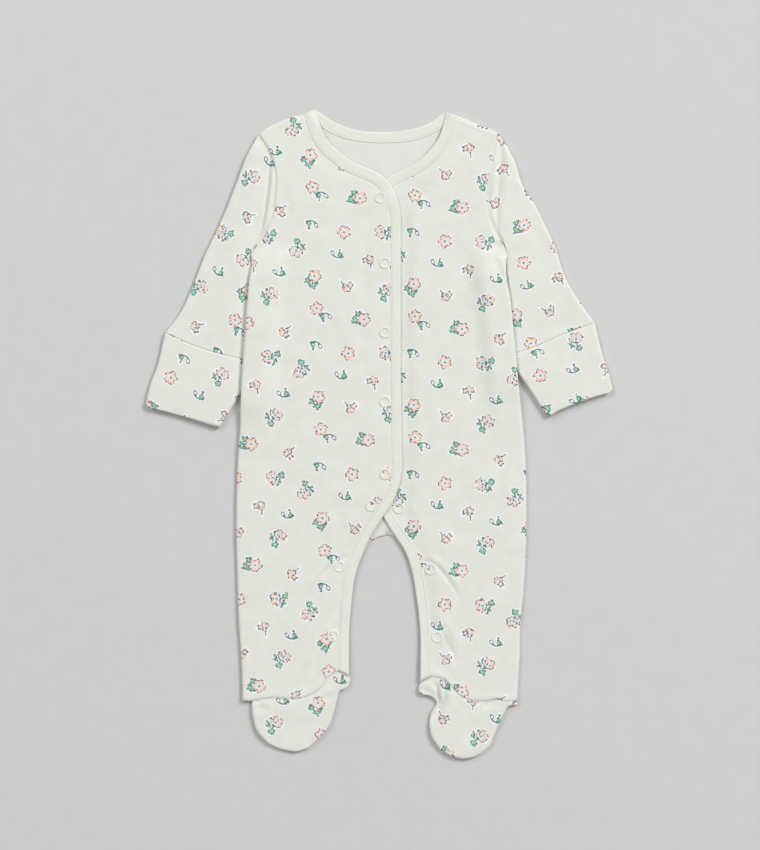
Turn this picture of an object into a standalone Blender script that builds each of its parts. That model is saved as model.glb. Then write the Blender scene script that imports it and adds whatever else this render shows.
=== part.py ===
"""A footed baby sleepsuit, size 0 to 3 months, laid flat on its back with its snaps fastened.

+Y runs up to the neck, +Z out through the front, and the wearer's right side is at -X. The origin
is on the surface it lies on, under the middle of the garment. Tables and sizes are in millimetres,
and MM turns them into metres where a mesh is written.
"""

import bmesh
import bpy
import numpy as np
from mathutils.bvhtree import BVHTree

MM = 0.001

# Cloth and how the layers lie on each other.
WALL = 1.0  # jersey panels
CUFF_WALL = 1.3  # the cuff is turned back on itself
BAND_WALL = 1.6  # folded binding
SEAM_GAP = 0.3  # between neighbouring pieces
SEAM_HALF = 0.36  # from a closed seam to the rolled edge of the layer above or below it
EDGE_ROUND = 2.6  # how far a side seam's soft edge reaches into a panel
SEAM_HEIGHT = 2.1  # a side seam above the surface, and the layers' reach above and below it
LOFT = 4.5  # top of the front panels above the surface
LAP_TOP = 4.9  # top of a front where a sleeve or foot is set in under it
SET_IN = 2.5  # how far a sleeve or foot reaches in under the front and over the back
SET_TOP, SET_LOW = 3.65, 1.25  # top and underside of a sleeve or foot there
SET_ROWS = (4.0, 5.4, 7.8)  # distances from its end over which it takes its own thickness
BAND_RISE = 0.4  # a binding stands this much above the panel beside it
LIFT_FLAT, LIFT_FADE = 18.0, 16.0  # how far in a raised side seam lifts the panels
LAP_FLAT, LAP_FADE = 3.0, 7.0  # how far in a front keeps LAP_TOP, and how far it takes to settle to LOFT
EDGE_FADE = 12.0  # a panel settles from its front edge's height to LOFT over this much

# Side edges from shoulder to ankle: the armhole, the side seam and the hem corner.
# x, y, and how much the seam is raised, where the sleeve and cuff lie under it.
RIGHT_SIDE = (
    (-102.0, 254.5, 0.0),
    (-95.5, 245.0, 0.0),
    (-91.0, 236.0, 0.0),
    (-88.0, 225.0, 0.0),
    (-87.5, 213.0, 0.0),
    (-88.5, 197.0, 0.0),
    (-90.5, 184.0, 0.0),
    (-95.5, 173.0, 0.0),
    (-101.5, 163.0, 0.0),
    (-108.0, 154.5, 0.0),
    (-108.5, 143.0, 2.2),
    (-110.0, 132.0, 3.6),
    (-112.5, 106.0, 3.6),
    (-114.5, 78.0, 3.6),
    (-116.5, 50.0, 3.6),
    (-117.5, 29.0, 3.6),
    (-118.0, 7.0, 1.2),
    (-120.0, -20.0, 0.0),
    (-121.0, -45.0, 0.0),
    (-121.5, -68.0, 0.0),
    (-121.5, -86.0, 0.0),
    (-121.0, -104.0, 0.0),
    (-120.5, -122.0, 0.0),
    (-120.0, -142.0, 0.0),
    (-119.0, -165.0, 0.0),
    (-117.5, -186.0, 0.0),
    (-116.5, -207.0, 0.0),
    (-116.3, -226.5, 0.0),
)
LEFT_SIDE = (
    (100.5, 256.0, 0.0),
    (99.5, 246.0, 0.0),
    (97.5, 237.0, 0.0),
    (96.0, 227.5, 0.0),
    (94.0, 217.5, 0.0),
    (91.2, 204.0, 0.0),
    (91.5, 194.0, 0.0),
    (94.5, 182.0, 0.0),
    (99.5, 168.0, 0.0),
    (109.0, 155.5, 0.0),
    (108.0, 146.0, 2.2),
    (108.0, 136.0, 3.6),
    (111.5, 115.0, 3.6),
    (114.0, 91.0, 3.6),
    (116.5, 65.0, 3.6),
    (118.5, 42.0, 3.6),
    (121.0, 19.0, 1.6),
    (123.5, -6.0, 0.0),
    (125.0, -30.0, 0.0),
    (125.3, -60.0, 0.0),
    (125.2, -86.0, 0.0),
    (124.5, -106.0, 0.0),
    (123.5, -124.0, 0.0),
    (122.0, -142.0, 0.0),
    (120.0, -164.0, 0.0),
    (119.7, -187.0, 0.0),
    (118.5, -207.0, 0.0),
    (117.3, -226.0, 0.0),
)
UNDERARM = 9  # row of both side tables

# Front edges, along the seam of their binding, row for row with the side tables.
# x, y, height of the panel there, how far in it stays at that height, width of the binding.
RIGHT_EDGE = (
    (-63.5, 272.0, 4.1, 0.0, 10.5),
    (-61.5, 264.0, 4.1, 0.0, 10.5),
    (-58.5, 255.5, 4.1, 0.0, 10.5),
    (-54.5, 247.0, 4.1, 0.0, 10.5),
    (-48.5, 239.0, 4.1, 0.0, 10.5),
    (-39.5, 231.0, 4.1, 0.0, 10.3),
    (-29.0, 223.5, 4.2, 0.0, 10.0),
    (-16.0, 218.0, 4.4, 8.0, 9.5),
    (-4.0, 212.5, 4.6, 16.0, 9.5),
    (4.5, 203.0, 4.6, 20.0, 9.2),
    (9.3, 189.0, 4.6, 22.0, 8.6),
    (10.0, 170.0, 4.6, 22.0, 8.4),
    (10.0, 134.0, 4.6, 22.0, 8.4),
    (10.0, 97.0, 4.6, 22.0, 8.4),
    (10.0, 61.0, 4.6, 22.0, 8.4),
    (10.3, 32.0, 4.6, 22.0, 8.4),
    (10.5, 7.0, 4.6, 22.0, 8.4),
    (10.8, -13.0, 4.6, 22.0, 8.4),
    (11.0, -28.0, 4.6, 22.0, 8.4),
    (9.0, -41.5, 4.6, 20.0, 8.4),
    (4.5, -52.5, 4.6, 14.0, 8.6),
    (-4.5, -66.0, 4.6, 8.0, 8.8),
    (-14.0, -80.5, 4.0, 0.0, 9.0),
    (-23.5, -101.5, 3.2, 0.0, 9.0),
    (-29.7, -121.5, 3.2, 0.0, 9.0),
    (-32.6, -144.0, 3.2, 0.0, 9.0),
    (-33.8, -172.0, 3.2, 0.0, 8.2),
    (-34.0, -201.0, 5.1, 0.0, 8.2),
)
LEFT_EDGE = (
    (66.0, 270.5, 4.1, 0.0, 10.0),
    (64.3, 261.0, 4.1, 0.0, 10.0),
    (61.7, 252.0, 4.1, 0.0, 10.0),
    (57.3, 243.5, 4.1, 0.0, 10.0),
    (51.0, 235.5, 4.1, 0.0, 10.0),
    (42.5, 227.5, 3.8, 0.0, 9.5),
    (33.0, 221.0, 3.3, 4.0, 9.0),
    (23.0, 216.5, 2.6, 8.0, 8.5),
    (13.0, 211.5, 2.6, 14.0, 8.5),
    (4.5, 203.0, 2.6, 18.0, 8.5),
    (1.0, 189.0, 2.6, 20.0, 8.5),
    (0.5, 170.0, 2.6, 20.5, 8.5),
    (0.5, 134.0, 2.6, 20.5, 8.5),
    (0.5, 97.0, 2.6, 20.5, 8.5),
    (0.5, 61.0, 2.6, 20.5, 8.5),
    (0.5, 32.0, 2.6, 20.5, 8.5),
    (0.5, 7.0, 2.6, 20.5, 8.5),
    (0.5, -13.0, 2.6, 20.5, 8.5),
    (0.8, -31.0, 2.6, 20.5, 8.5),
    (3.2, -47.0, 2.6, 16.0, 8.5),
    (8.0, -60.5, 2.6, 8.0, 8.5),
    (14.5, -72.0, 2.8, 2.0, 8.7),
    (22.0, -83.0, 3.2, 0.0, 9.0),
    (30.0, -95.5, 3.2, 0.0, 9.0),
    (36.5, -114.0, 3.2, 0.0, 9.0),
    (40.7, -137.5, 3.2, 0.0, 9.0),
    (43.3, -168.0, 3.2, 0.0, 8.4),
    (43.8, -206.0, 5.1, 0.0, 8.4),
)

# The neck's highest points, where the binding folds over, and the ends of the leg bindings.
RIGHT_PEAK, LEFT_PEAK = (-55.0, 276.0), (56.3, 273.8)
RIGHT_BAND_FOOT, LEFT_BAND_FOOT = (-25.6, -205.5), (35.0, -210.5)

# Shoulders, from armhole to neck.
RIGHT_SHOULDER = ((-102.0, 254.5), (-98.0, 258.3), (-88.0, 263.6), (-75.5, 269.0), (-63.5, 272.0))
LEFT_SHOULDER = ((100.5, 256.0), (94.0, 259.5), (83.5, 263.3), (75.0, 267.0), (66.0, 270.5))

# Back neck: the seam of its binding, and the binding's free edge. x, y, x, y.
BACK_NECK = (
    (-63.5, 272.0, -55.0, 276.0),
    (-56.0, 266.0, -51.3, 274.3),
    (-49.0, 261.0, -44.5, 269.2),
    (-40.0, 255.5, -35.8, 264.4),
    (-28.5, 251.3, -25.0, 260.2),
    (-13.0, 248.4, -11.5, 257.6),
    (3.5, 247.5, 3.5, 257.0),
    (20.0, 248.3, 19.5, 258.2),
    (36.0, 251.5, 33.5, 261.2),
    (48.0, 256.5, 43.8, 265.2),
    (57.0, 262.8, 50.8, 270.2),
    (66.0, 270.5, 56.3, 273.8),
)

# Middle of the back, from neck to crotch, and the back's inner leg edges from the crotch down.
BACK_MIDDLE = (
    (3.5, 247.5), (3.5, 239.0), (3.5, 230.0), (3.5, 221.0), (3.5, 210.0), (3.5, 198.0), (3.5, 186.0),
    (3.5, 175.0), (3.5, 165.0), (3.5, 156.0), (3.5, 146.0), (3.5, 134.0), (3.6, 111.0), (3.9, 86.0),
    (4.3, 58.0), (4.7, 35.0), (5.2, 12.0), (5.8, -13.0), (6.4, -38.0), (7.0, -64.0), (7.5, -85.7),
)  # fmt: skip
RIGHT_INNER_LEG = (
    (7.5, -85.7), (-3.0, -89.0), (-11.5, -95.5), (-19.5, -109.0), (-24.5, -130.0), (-27.0, -154.0),
    (-28.0, -180.0), (-27.0, -205.5),
)  # fmt: skip
LEFT_INNER_LEG = (
    (7.5, -85.7), (15.3, -88.5), (20.5, -93.5), (27.0, -107.0), (32.5, -127.0), (36.5, -152.0),
    (37.5, -180.0), (36.5, -210.5),
)  # fmt: skip

# Seams where the feet join the legs, from the outer side to the inner leg.
RIGHT_ANKLE = (
    (-116.3, -226.5), (-108.5, -226.5), (-97.0, -224.7), (-87.0, -224.2), (-76.0, -225.0),
    (-66.0, -224.2), (-58.0, -221.5), (-51.0, -217.0), (-44.0, -209.0), (-38.5, -203.0), (-34.0, -201.0),
)  # fmt: skip
LEFT_ANKLE = (
    (117.3, -226.0), (109.0, -227.3), (99.0, -225.2), (90.0, -226.5), (80.0, -226.5), (71.0, -223.5),
    (65.0, -218.5), (60.0, -212.5), (56.0, -208.8), (50.0, -206.6), (43.8, -206.0),
)  # fmt: skip

# Feet: the seam line again, set in under the leg, and each outline's outer side, toe and inner side.
RIGHT_FOOT_OUTER = ((-107.8, -224.0), (-108.2, -231.0), (-107.2, -241.0), (-103.5, -253.0), (-94.5, -263.0))
RIGHT_FOOT_TOE = ((-94.5, -263.0), (-87.0, -266.5), (-77.5, -269.2), (-70.0, -270.0), (-59.5, -266.5))
RIGHT_FOOT_INNER = (
    (-28.0, -203.0), (-24.7, -208.5), (-27.5, -215.8), (-33.4, -218.6), (-35.5, -225.0),
    (-38.5, -236.5), (-42.5, -248.0), (-51.0, -258.8), (-59.5, -266.5),
)  # fmt: skip
LEFT_FOOT_OUTER = (
    (113.5, -224.5), (118.0, -229.5), (110.0, -231.8), (106.3, -237.5), (102.3, -245.5), (94.5, -264.5),
)  # fmt: skip
LEFT_FOOT_TOE = (
    (94.5, -264.5), (88.0, -270.7), (79.0, -275.2), (70.5, -276.2), (61.5, -274.0), (52.0, -268.0),
)  # fmt: skip
LEFT_FOOT_INNER = (
    (37.5, -208.5), (33.4, -216.5), (35.2, -221.0), (43.0, -222.6), (49.3, -227.5), (44.6, -237.0),
    (43.0, -246.0), (44.5, -257.0), (52.0, -268.0),
)  # fmt: skip

# Sleeves, from armhole to cuff seam. x, y of the outer edge and of the inner edge, which lies under
# the body below the underarm, then the sleeve's height in its middle and at its inner edge.
RIGHT_SLEEVE = (
    (-104.8, 253.3, -104.6, 160.2, 4.2, 3.0),
    (-113.0, 235.5, -108.0, 157.7, 5.2, 3.0),
    (-121.5, 213.0, -109.4, 154.0, 5.0, 3.0),
    (-132.0, 186.5, -110.1, 149.5, 4.8, 3.0),
    (-141.0, 167.0, -110.5, 142.5, 4.7, 3.0),
    (-148.0, 152.5, -110.6, 134.5, 4.7, 3.0),
    (-157.5, 128.0, -107.5, 114.0, 4.6, 3.0),
    (-170.0, 101.5, -103.3, 86.0, 4.5, 3.0),
    (-182.0, 86.0, -100.0, 60.5, 4.4, 3.0),
)
LEFT_SLEEVE = (
    (104.7, 255.6, 104.0, 163.4, 4.2, 3.0),
    (115.5, 232.0, 108.3, 160.1, 5.2, 3.0),
    (122.0, 212.0, 110.4, 155.2, 5.0, 3.0),
    (132.5, 195.5, 110.4, 150.0, 4.8, 3.0),
    (140.5, 179.5, 109.8, 144.0, 4.7, 3.0),
    (148.5, 162.5, 109.6, 137.0, 4.7, 3.0),
    (159.5, 131.0, 107.5, 118.0, 4.6, 3.0),
    (171.0, 112.0, 105.3, 92.0, 4.5, 3.0),
    (183.5, 94.5, 104.0, 66.0, 4.4, 3.0),
)

# Cuffs, from their seam to their open end, in the same columns.
RIGHT_CUFF = (
    (-182.0, 86.0, -100.0, 60.5, 4.4, 3.0),
    (-188.0, 60.0, -102.5, 50.5, 4.7, 3.2),
    (-195.3, 39.5, -115.0, 31.0, 4.8, 3.2),
    (-198.6, 26.0, -137.0, 5.2, 4.6, 4.0),
)
LEFT_CUFF = (
    (183.5, 94.5, 104.0, 66.0, 4.4, 3.0),
    (190.8, 64.5, 106.5, 56.0, 4.7, 3.2),
    (196.3, 48.0, 119.0, 41.0, 4.8, 3.2),
    (198.6, 38.0, 139.8, 17.3, 4.6, 4.0),
)
RIGHT_CUFF_SEAM = ((-182.0, 86.0), (-163.0, 77.2), (-142.5, 70.0), (-115.5, 63.5), (-100.0, 60.5))
LEFT_CUFF_SEAM = ((183.5, 94.5), (161.5, 86.5), (141.5, 78.0), (121.0, 70.0), (104.0, 66.0))
RIGHT_CUFF_END = ((-198.6, 26.0), (-195.5, 22.6), (-186.5, 20.3), (-163.0, 13.8), (-137.0, 5.2))
LEFT_CUFF_END = ((198.6, 38.0), (195.0, 34.8), (181.0, 31.2), (164.0, 24.3), (146.0, 14.9), (139.8, 17.3))

# Largest folds. Width and height of each (a trough is negative), then the line along its bottom or crest.
FOLDS = (
    (2.8, -1.7, ((-99.0, 247.0), (-93.0, 234.0), (-92.0, 222.0), (-94.5, 201.0), (-98.0, 182.0))),
    (6.5, 0.9, ((-104.0, 240.0), (-100.5, 225.0), (-102.5, 203.0), (-106.0, 183.0), (-112.0, 166.0))),
    (3.6, -1.1, ((103.0, 246.0), (102.5, 229.0), (101.0, 208.0), (101.5, 180.0))),
    (6.5, 0.7, ((111.0, 238.0), (109.5, 215.0), (109.5, 186.0))),
    (5.0, -0.9, ((97.0, 153.0), (101.5, 140.0), (108.0, 124.0))),
    (5.0, -0.9, ((-38.0, -111.0), (-47.0, -119.0), (-57.0, -135.5))),
    (5.5, -1.3, ((-36.0, -164.0), (-47.0, -172.0), (-54.5, -189.0), (-57.0, -208.0))),
    (5.0, -0.9, ((41.5, -110.0), (49.0, -113.5), (57.0, -122.5), (65.5, -134.0))),
    (5.0, -1.0, ((45.0, -162.0), (54.5, -169.5), (61.0, -180.0), (66.0, -189.0))),
    (3.2, -1.9, ((58.5, -214.5), (56.5, -222.0), (54.0, -231.0), (46.5, -242.0))),
    (4.5, 0.7, ((64.0, -222.0), (61.0, -232.0), (54.0, -244.0))),
    (4.0, -0.8, ((89.0, -231.5), (102.0, -228.0))),
    (5.0, -0.9, ((-46.0, -229.5), (-37.5, -226.5))),
    (6.0, -0.7, ((-101.0, -232.0), (-92.0, -236.0))),
)

# Snap caps: x, y of the five on the placket, the two at the crotch and the two on each leg.
SNAPS = (
    (1.0, 201.0), (5.0, 145.5), (5.0, 86.5), (5.0, 27.5), (5.3, -34.0),
    (-6.8, -61.0), (16.8, -63.0), (-33.8, -112.5), (-39.0, -171.5), (43.5, -115.0), (49.5, -172.5),
)  # fmt: skip
SNAP_OUTER, SNAP_INNER, SNAP_TALL = 4.9, 3.0, 0.9
SNAP_STEPS = 14


# Lines and grids of points.


def smooth(rows, at):
    """Rows of a table at these row numbers, with fractions for the places between rows."""
    rows = np.asarray(rows, float)
    chord = np.maximum(np.linalg.norm(np.diff(rows[:, :2], axis=0), axis=1), 1e-6)
    rate = np.diff(rows, axis=0) / chord[:, None]
    weight = chord[:-1] / (chord[:-1] + chord[1:])
    inner = rate[:-1] * (1 - weight)[:, None] + rate[1:] * weight[:, None]
    slope = np.vstack([rate[:1], inner, rate[-1:]])
    at = np.asarray(at, float)
    span = np.clip(at.astype(int), 0, len(rows) - 2)
    f = (at - span)[:, None]
    h = chord[span][:, None]
    start, end = rows[span], rows[span + 1]
    return (
        start * (1 + 2 * f) * (1 - f) ** 2
        + end * f * f * (3 - 2 * f)
        + (slope[span] * f * (1 - f) ** 2 - slope[span + 1] * f * f * (1 - f)) * h
    )


def spaced(points, fractions):
    """Points at these fractions of the length of a smooth line through the given ones."""
    dense = smooth(points, np.linspace(0, len(points) - 1, 24 * (len(points) - 1) + 1))
    travel = np.concatenate([[0], np.cumsum(np.linalg.norm(np.diff(dense, axis=0), axis=1))])
    return np.stack([np.interp(fractions * travel[-1], travel, dense[:, k]) for k in (0, 1)], axis=-1)


def moved_aside(points, distance):
    """A line moved to the left of its own direction."""
    along = np.gradient(points, axis=0)
    along /= np.linalg.norm(along, axis=1)[:, None]
    return points + np.stack([-along[:, 1], along[:, 0]], axis=1) * np.reshape(distance, (-1, 1))


def ease(t):
    t = np.clip(t, 0, 1)
    return t * t * (3 - 2 * t)


def rounded(distance):
    """Rise of a soft edge, from 0 at the edge to 1 at EDGE_ROUND inside it."""
    inside = 1 - np.clip((distance + 0.25) / (EDGE_ROUND + 0.25), 0, 1)
    return np.where(distance > 0.001, np.sqrt(1 - inside * inside), 0.0)


def folds(x, y):
    """Height that the folds add at each point."""
    height = np.zeros_like(x)
    for width, size, line in FOLDS:
        line = np.asarray(line)
        nearest = np.full(x.shape, np.inf)
        for start, end in zip(line[:-1], line[1:]):
            along = end - start
            f = ((x - start[0]) * along[0] + (y - start[1]) * along[1]) / (along @ along)
            f = np.clip(f, 0, 1)
            nearest = np.minimum(nearest, np.hypot(x - start[0] - f * along[0], y - start[1] - f * along[1]))
        height += size * np.exp(-((nearest / width) ** 2))
    return height


EDGE_STEPS = np.array([0.0, 0.05, 0.9, EDGE_ROUND])
OPEN_STEPS = np.array([0.0, 0.7, 1.6, EDGE_ROUND])  # the same columns beside an edge that isn't rounded
TUBE_STEPS = np.array([0.0, 0.3, 1.1, EDGE_ROUND])


def bend(line, u):
    """How far a smooth line stands off the straight one between its ends, at fractions of its length."""
    line = np.asarray(line, float)
    return spaced(line, u) - line[0] - (line[-1] - line[0]) * u[..., None]


def fill(left, right, head, foot, steps_left, steps_right, middle, fade=3):
    """A grid between two edges, row by row, bent to follow the head and foot lines.

    steps_left and steps_right hold each row's distances of the columns near those edges. Each point
    is x, y, its distance from the left edge and its distance from the right one.
    """
    across = right - left
    width = np.linalg.norm(across, axis=1)[:, None]
    lean = []
    for edge in (left, right):
        along = np.gradient(edge, axis=0)
        turn = np.abs(across[:, :1] * along[:, 1:] - across[:, 1:] * along[:, :1])
        lean.append(np.maximum(turn / width / np.linalg.norm(along, axis=1)[:, None], 0.45))
    first = steps_left / lean[0] / width
    last = 1 - steps_right[:, ::-1] / lean[1] / width
    between = np.linspace(0, 1, middle + 2)[1:-1]
    u = np.hstack([first, first[:, -1:] + (last[:, :1] - first[:, -1:]) * between, last])
    travel = np.cumsum(np.linalg.norm(np.diff(left + right, axis=0, prepend=(left + right)[:1]), axis=1))
    v = (travel / travel[-1])[:, None, None]
    points = left[:, None] + across[:, None] * u[..., None]
    points = points + bend(head, u) * (1 - v) ** fade + bend(foot, u) * v**3
    return np.dstack([points, u * width * lean[0], (1 - u) * width * lean[1]])


def close_rows(grid, distances):
    """The grid with more rows after its first one, at these distances down each column."""
    step = grid[1] - grid[0]
    reach = np.maximum(np.linalg.norm(step[:, :2], axis=1), 1.2 * distances[-1])[:, None]
    return np.concatenate([grid[:1], [grid[0] + step * distance / reach for distance in distances], grid[1:]])


def down_from_head(plan):
    """Distance of each point from the first row, along its column."""
    steps = np.linalg.norm(np.diff(plan[..., :2], axis=0, prepend=plan[:1, :, :2]), axis=2)
    return np.cumsum(steps, axis=0)


def up_from_foot(plan):
    return down_from_head(plan[::-1])[::-1]


# Meshes.


def sheet(name, points, finish, wall, faces_up, tube=False):
    """A cloth piece: a grid of outer points, given its thickness inwards."""
    rows, columns = points.shape[:2]
    mesh = bpy.data.meshes.new(name)
    bm = bmesh.new()
    bmesh.ops.create_grid(bm, x_segments=columns - 1, y_segments=rows - 1, size=0.5)
    for vert in bm.verts:
        column = round((vert.co.x + 0.5) * (columns - 1))
        row = round((vert.co.y + 0.5) * (rows - 1))
        vert.co = points[row, column] * MM
    if tube:
        bmesh.ops.remove_doubles(bm, verts=bm.verts, dist=1e-7)
    upper = points[:, : columns // 2 + 1] if tube else points
    across, down = np.diff(upper, axis=1)[:-1], np.diff(upper, axis=0)[:, :-1]
    upward = np.sum(across[..., 0] * down[..., 1] - across[..., 1] * down[..., 0]) > 0
    if upward != faces_up:
        bmesh.ops.reverse_faces(bm, faces=bm.faces)
    bm.to_mesh(mesh)
    bm.free()
    mesh.shade_smooth()
    mesh.materials.append(finish)
    piece = bpy.data.objects.new(name, mesh)
    SUIT.objects.link(piece)
    shell = piece.modifiers.new("wall", "SOLIDIFY")
    shell.thickness = wall * MM
    shell.offset = -1
    return piece


def row_numbers(count, fine_from):
    """Row numbers of a panel: a few close ones at the rounded shoulder, some round the underarm, and two
    to a table row in the legs."""
    fine = [n + 0.5 for n in range(fine_from, count - 1)]
    near_ends = [0.008, 0.14, 0.4, UNDERARM - 0.5, UNDERARM + 0.5, count - 1.2]
    return np.array(sorted([*near_ends, *range(count), *fine]))


def side_closed(numbers):
    """0 beside the armhole and 1 from the underarm down, where front and back meet at the side seam."""
    return ease(2 * (numbers - UNDERARM) + 1)[:, None]


def side_steps(numbers):
    closed = side_closed(numbers)
    return OPEN_STEPS * (1 - closed) + EDGE_STEPS * closed


def lifted(lift, from_side):
    return lift * (1 - ease((from_side - LIFT_FLAT) / LIFT_FADE))


def front(name, side, edge, shoulder, ankle, finish):
    numbers = row_numbers(len(side), 20)
    s, e = smooth(side, numbers), smooth(edge, numbers)
    s[:, 2] = np.maximum(s[:, 2], 0)
    gap = np.full((len(numbers), 1), SEAM_GAP / 2)
    plan = fill(s[:, :2], e[:, :2], shoulder, ankle, side_steps(numbers), gap, 6)
    x, y, from_side, from_edge = np.moveaxis(plan, 2, 0)
    lift, edge_top, flat = s[:, 2:3], e[:, 2:3], e[:, 3:4]
    closed = side_closed(numbers)
    near_side = (1 - ease(from_side / LIFT_FLAT)) * closed
    top = LOFT + (2 * SEAM_HEIGHT - LOFT) * near_side + lifted(lift, from_side)
    near_lap = 1 - ease((np.minimum(from_side + 100 * closed, up_from_foot(plan)) - LAP_FLAT) / LAP_FADE)
    top = top + (LAP_TOP - top) * near_lap
    near_edge = 1 - ease((from_edge - flat) / EDGE_FADE)
    top = top + (edge_top - top) * near_edge + folds(x, y) * (1 - near_lap)
    split = SEAM_HEIGHT + lift + SEAM_HALF
    rise = np.minimum(1 - closed * (1 - rounded(from_side)), rounded(down_from_head(plan)))
    return sheet(name, np.dstack([x, y, split + (top - split) * rise]), finish, WALL, True)


def back_half(side, inner, shoulder, neck, ankle):
    """Points of half of the back, from its side edge to the middle and then the inner leg."""
    numbers = row_numbers(len(side), len(side))
    crotch = len(BACK_MIDDLE) - 1
    s = smooth(side, numbers)
    s[:, 2] = np.maximum(s[:, 2], 0)
    upper, lower = numbers[numbers <= crotch], numbers[numbers > crotch]
    middle = np.vstack([smooth(BACK_MIDDLE, upper), smooth(inner, lower - crotch)])
    columns = len(neck) + 5
    turn = 5  # the column at the neck's corner, between the shoulder and the neck seam
    gap = np.zeros((len(numbers), 1))
    chord = np.linspace(s[0, :2], middle[0], columns)
    grid = fill(s[:, :2], middle, chord, ankle, side_steps(numbers), gap, columns - 5)
    plan, from_side = grid[..., :2], grid[..., 2]
    head = np.vstack([spaced(shoulder, np.linspace(0, 1, turn + 1)), neck[1:]])
    head[1:4] = spaced(shoulder, OPEN_STEPS[1:] / np.hypot(*np.subtract(shoulder[0], shoulder[-1])))
    plan = plan + (head - plan[0]) * (1 - np.minimum(numbers / UNDERARM, 1))[:, None, None] ** 1.5
    split = SEAM_HEIGHT + s[:, 2:3] - SEAM_HALF
    rise = np.minimum(1 - side_closed(numbers) * (1 - rounded(from_side)), rounded(down_from_head(plan)))
    rise[:, turn + 1:] = 1  # the neck edge lies flat beside its binding
    return np.dstack([plan, split * (1 - rise) + lifted(s[:, 2:3], from_side) * rise])


def back(finish):
    """The back: two halves that share the middle line down to the crotch."""
    neck = neck_rows()[:, :2]
    half = len(neck) // 2
    right_ankle = (*RIGHT_ANKLE, RIGHT_INNER_LEG[-1])
    left_ankle = (*LEFT_ANKLE, LEFT_INNER_LEG[-1])
    right = back_half(RIGHT_SIDE, RIGHT_INNER_LEG, RIGHT_SHOULDER, neck[: half + 1], right_ankle)
    left = back_half(LEFT_SIDE, LEFT_INNER_LEG, LEFT_SHOULDER, neck[:half - 1:-1], left_ankle)
    numbers = row_numbers(len(RIGHT_SIDE), len(RIGHT_SIDE))
    shared = numbers <= len(BACK_MIDDLE) - 1
    left[shared, -1] = right[shared, -1]
    piece = sheet("back", right, finish, WALL, False)
    other = sheet("left_half", left, finish, WALL, False)
    bm = bmesh.new()
    bm.from_mesh(piece.data)
    bm.from_mesh(other.data)
    bmesh.ops.remove_doubles(bm, verts=bm.verts, dist=1e-7)
    bm.to_mesh(piece.data)
    bm.free()
    bpy.data.objects.remove(other)
    piece.data.shade_smooth()


def band(name, edge, way, head, foot, finish):
    """A binding along a front edge: a strip made from the edge's points, moved out by its width."""
    e = smooth(edge, np.linspace(0, len(edge) - 1, 2 * len(edge) - 1))
    inner = moved_aside(e[:, :2], way * SEAM_GAP / 2)
    free = moved_aside(e[:, :2], way * e[:, 4])
    free[0], free[-1] = head, foot
    across = np.array([0, 0.12, 0.88, 1])[:, None]
    soft = np.array([0.35, 0, 0, 0.4])
    plan = inner[:, None] + (free - inner)[:, None] * across
    top = (e[:, 2] + BAND_RISE)[:, None] - soft
    sheet(name, np.dstack([plan, top]), finish, BAND_WALL, True)


def neck_rows():
    """Points of the back neck's seam and of its binding's free edge, opposite each other."""
    middle = len(BACK_NECK) // 2
    fractions = np.linspace(0, 1, 8)
    halves = []
    for half in (BACK_NECK[: middle + 1], BACK_NECK[middle:]):
        half = np.array(half)
        halves.append(np.hstack([spaced(half[:, :2], fractions), spaced(half[:, 2:], fractions)]))
    return np.vstack([halves[0], halves[1][1:]])


def neck_band(finish):
    rows = neck_rows()
    inner = moved_aside(rows[:, :2], SEAM_GAP)
    plan = inner[:, None] + (rows[:, 2:] - inner)[:, None] * np.array([0, 0.5, 1])[:, None]
    top = np.full(plan.shape[:2], BAND_WALL)
    sheet("neck_band", np.dstack([plan, top]), finish, BAND_WALL, True)


def armhole(side, rows, way):
    """The sleeve's end: beside the body at the shoulder and near the underarm, and set in between."""
    numbers = np.linspace(0.5, UNDERARM - 1, 2 * UNDERARM - 2)
    line = smooth([row[:2] for row in side], numbers)
    reach = np.full(len(line), SET_IN)
    reach[[0, -3, -2, -1]] = -0.6, 1.5, 0.9, 0.3
    line = moved_aside(line, -way * reach)
    return np.vstack([rows[0][:2], line, rows[0][2:4]])


def tube(name, rows, head, foot, numbers, wall, finish, fade=3):
    """A sleeve or cuff: rings round a flat tube, each from its outer edge over the top and back below.

    With a steep fade it is a sleeve, set in at its head.
    """
    r = smooth(rows, numbers)
    steps = np.tile(TUBE_STEPS, (len(numbers), 1))
    grid = fill(r[:, :2], r[:, 2:4], head, foot, steps, steps, 4, fade)
    heights = np.tile(r[:, None, 4:], (1, grid.shape[1], 1))
    grid = np.dstack([grid, heights])
    set_in = fade > 3
    if set_in:
        grid = close_rows(grid, SET_ROWS)
    x, y, from_outer, from_inner, high, under = np.moveaxis(grid, 2, 0)
    hidden = 1 - ease((from_inner - LIFT_FLAT) / LIFT_FADE)
    top = high * (1 - hidden) + under * hidden + folds(x, y) * (1 - hidden)
    near_head = 1 - ease((down_from_head(grid) - SET_ROWS[0]) / (SET_ROWS[-1] - SET_ROWS[0]))
    near_head = near_head * set_in
    top = top + (SET_TOP - top) * near_head
    low = SET_LOW * near_head
    rise = rounded(np.minimum(from_outer, from_inner))
    middle, half = (top + low) / 2, (top - low) / 2
    upper = np.dstack([x, y, middle + half * rise])
    lower = np.dstack([x, y, middle - half * rise])[:, -2:0:-1]
    sheet(name, np.concatenate([upper, lower, upper[:, :1]], axis=1), finish, wall, True, tube=True)


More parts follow.
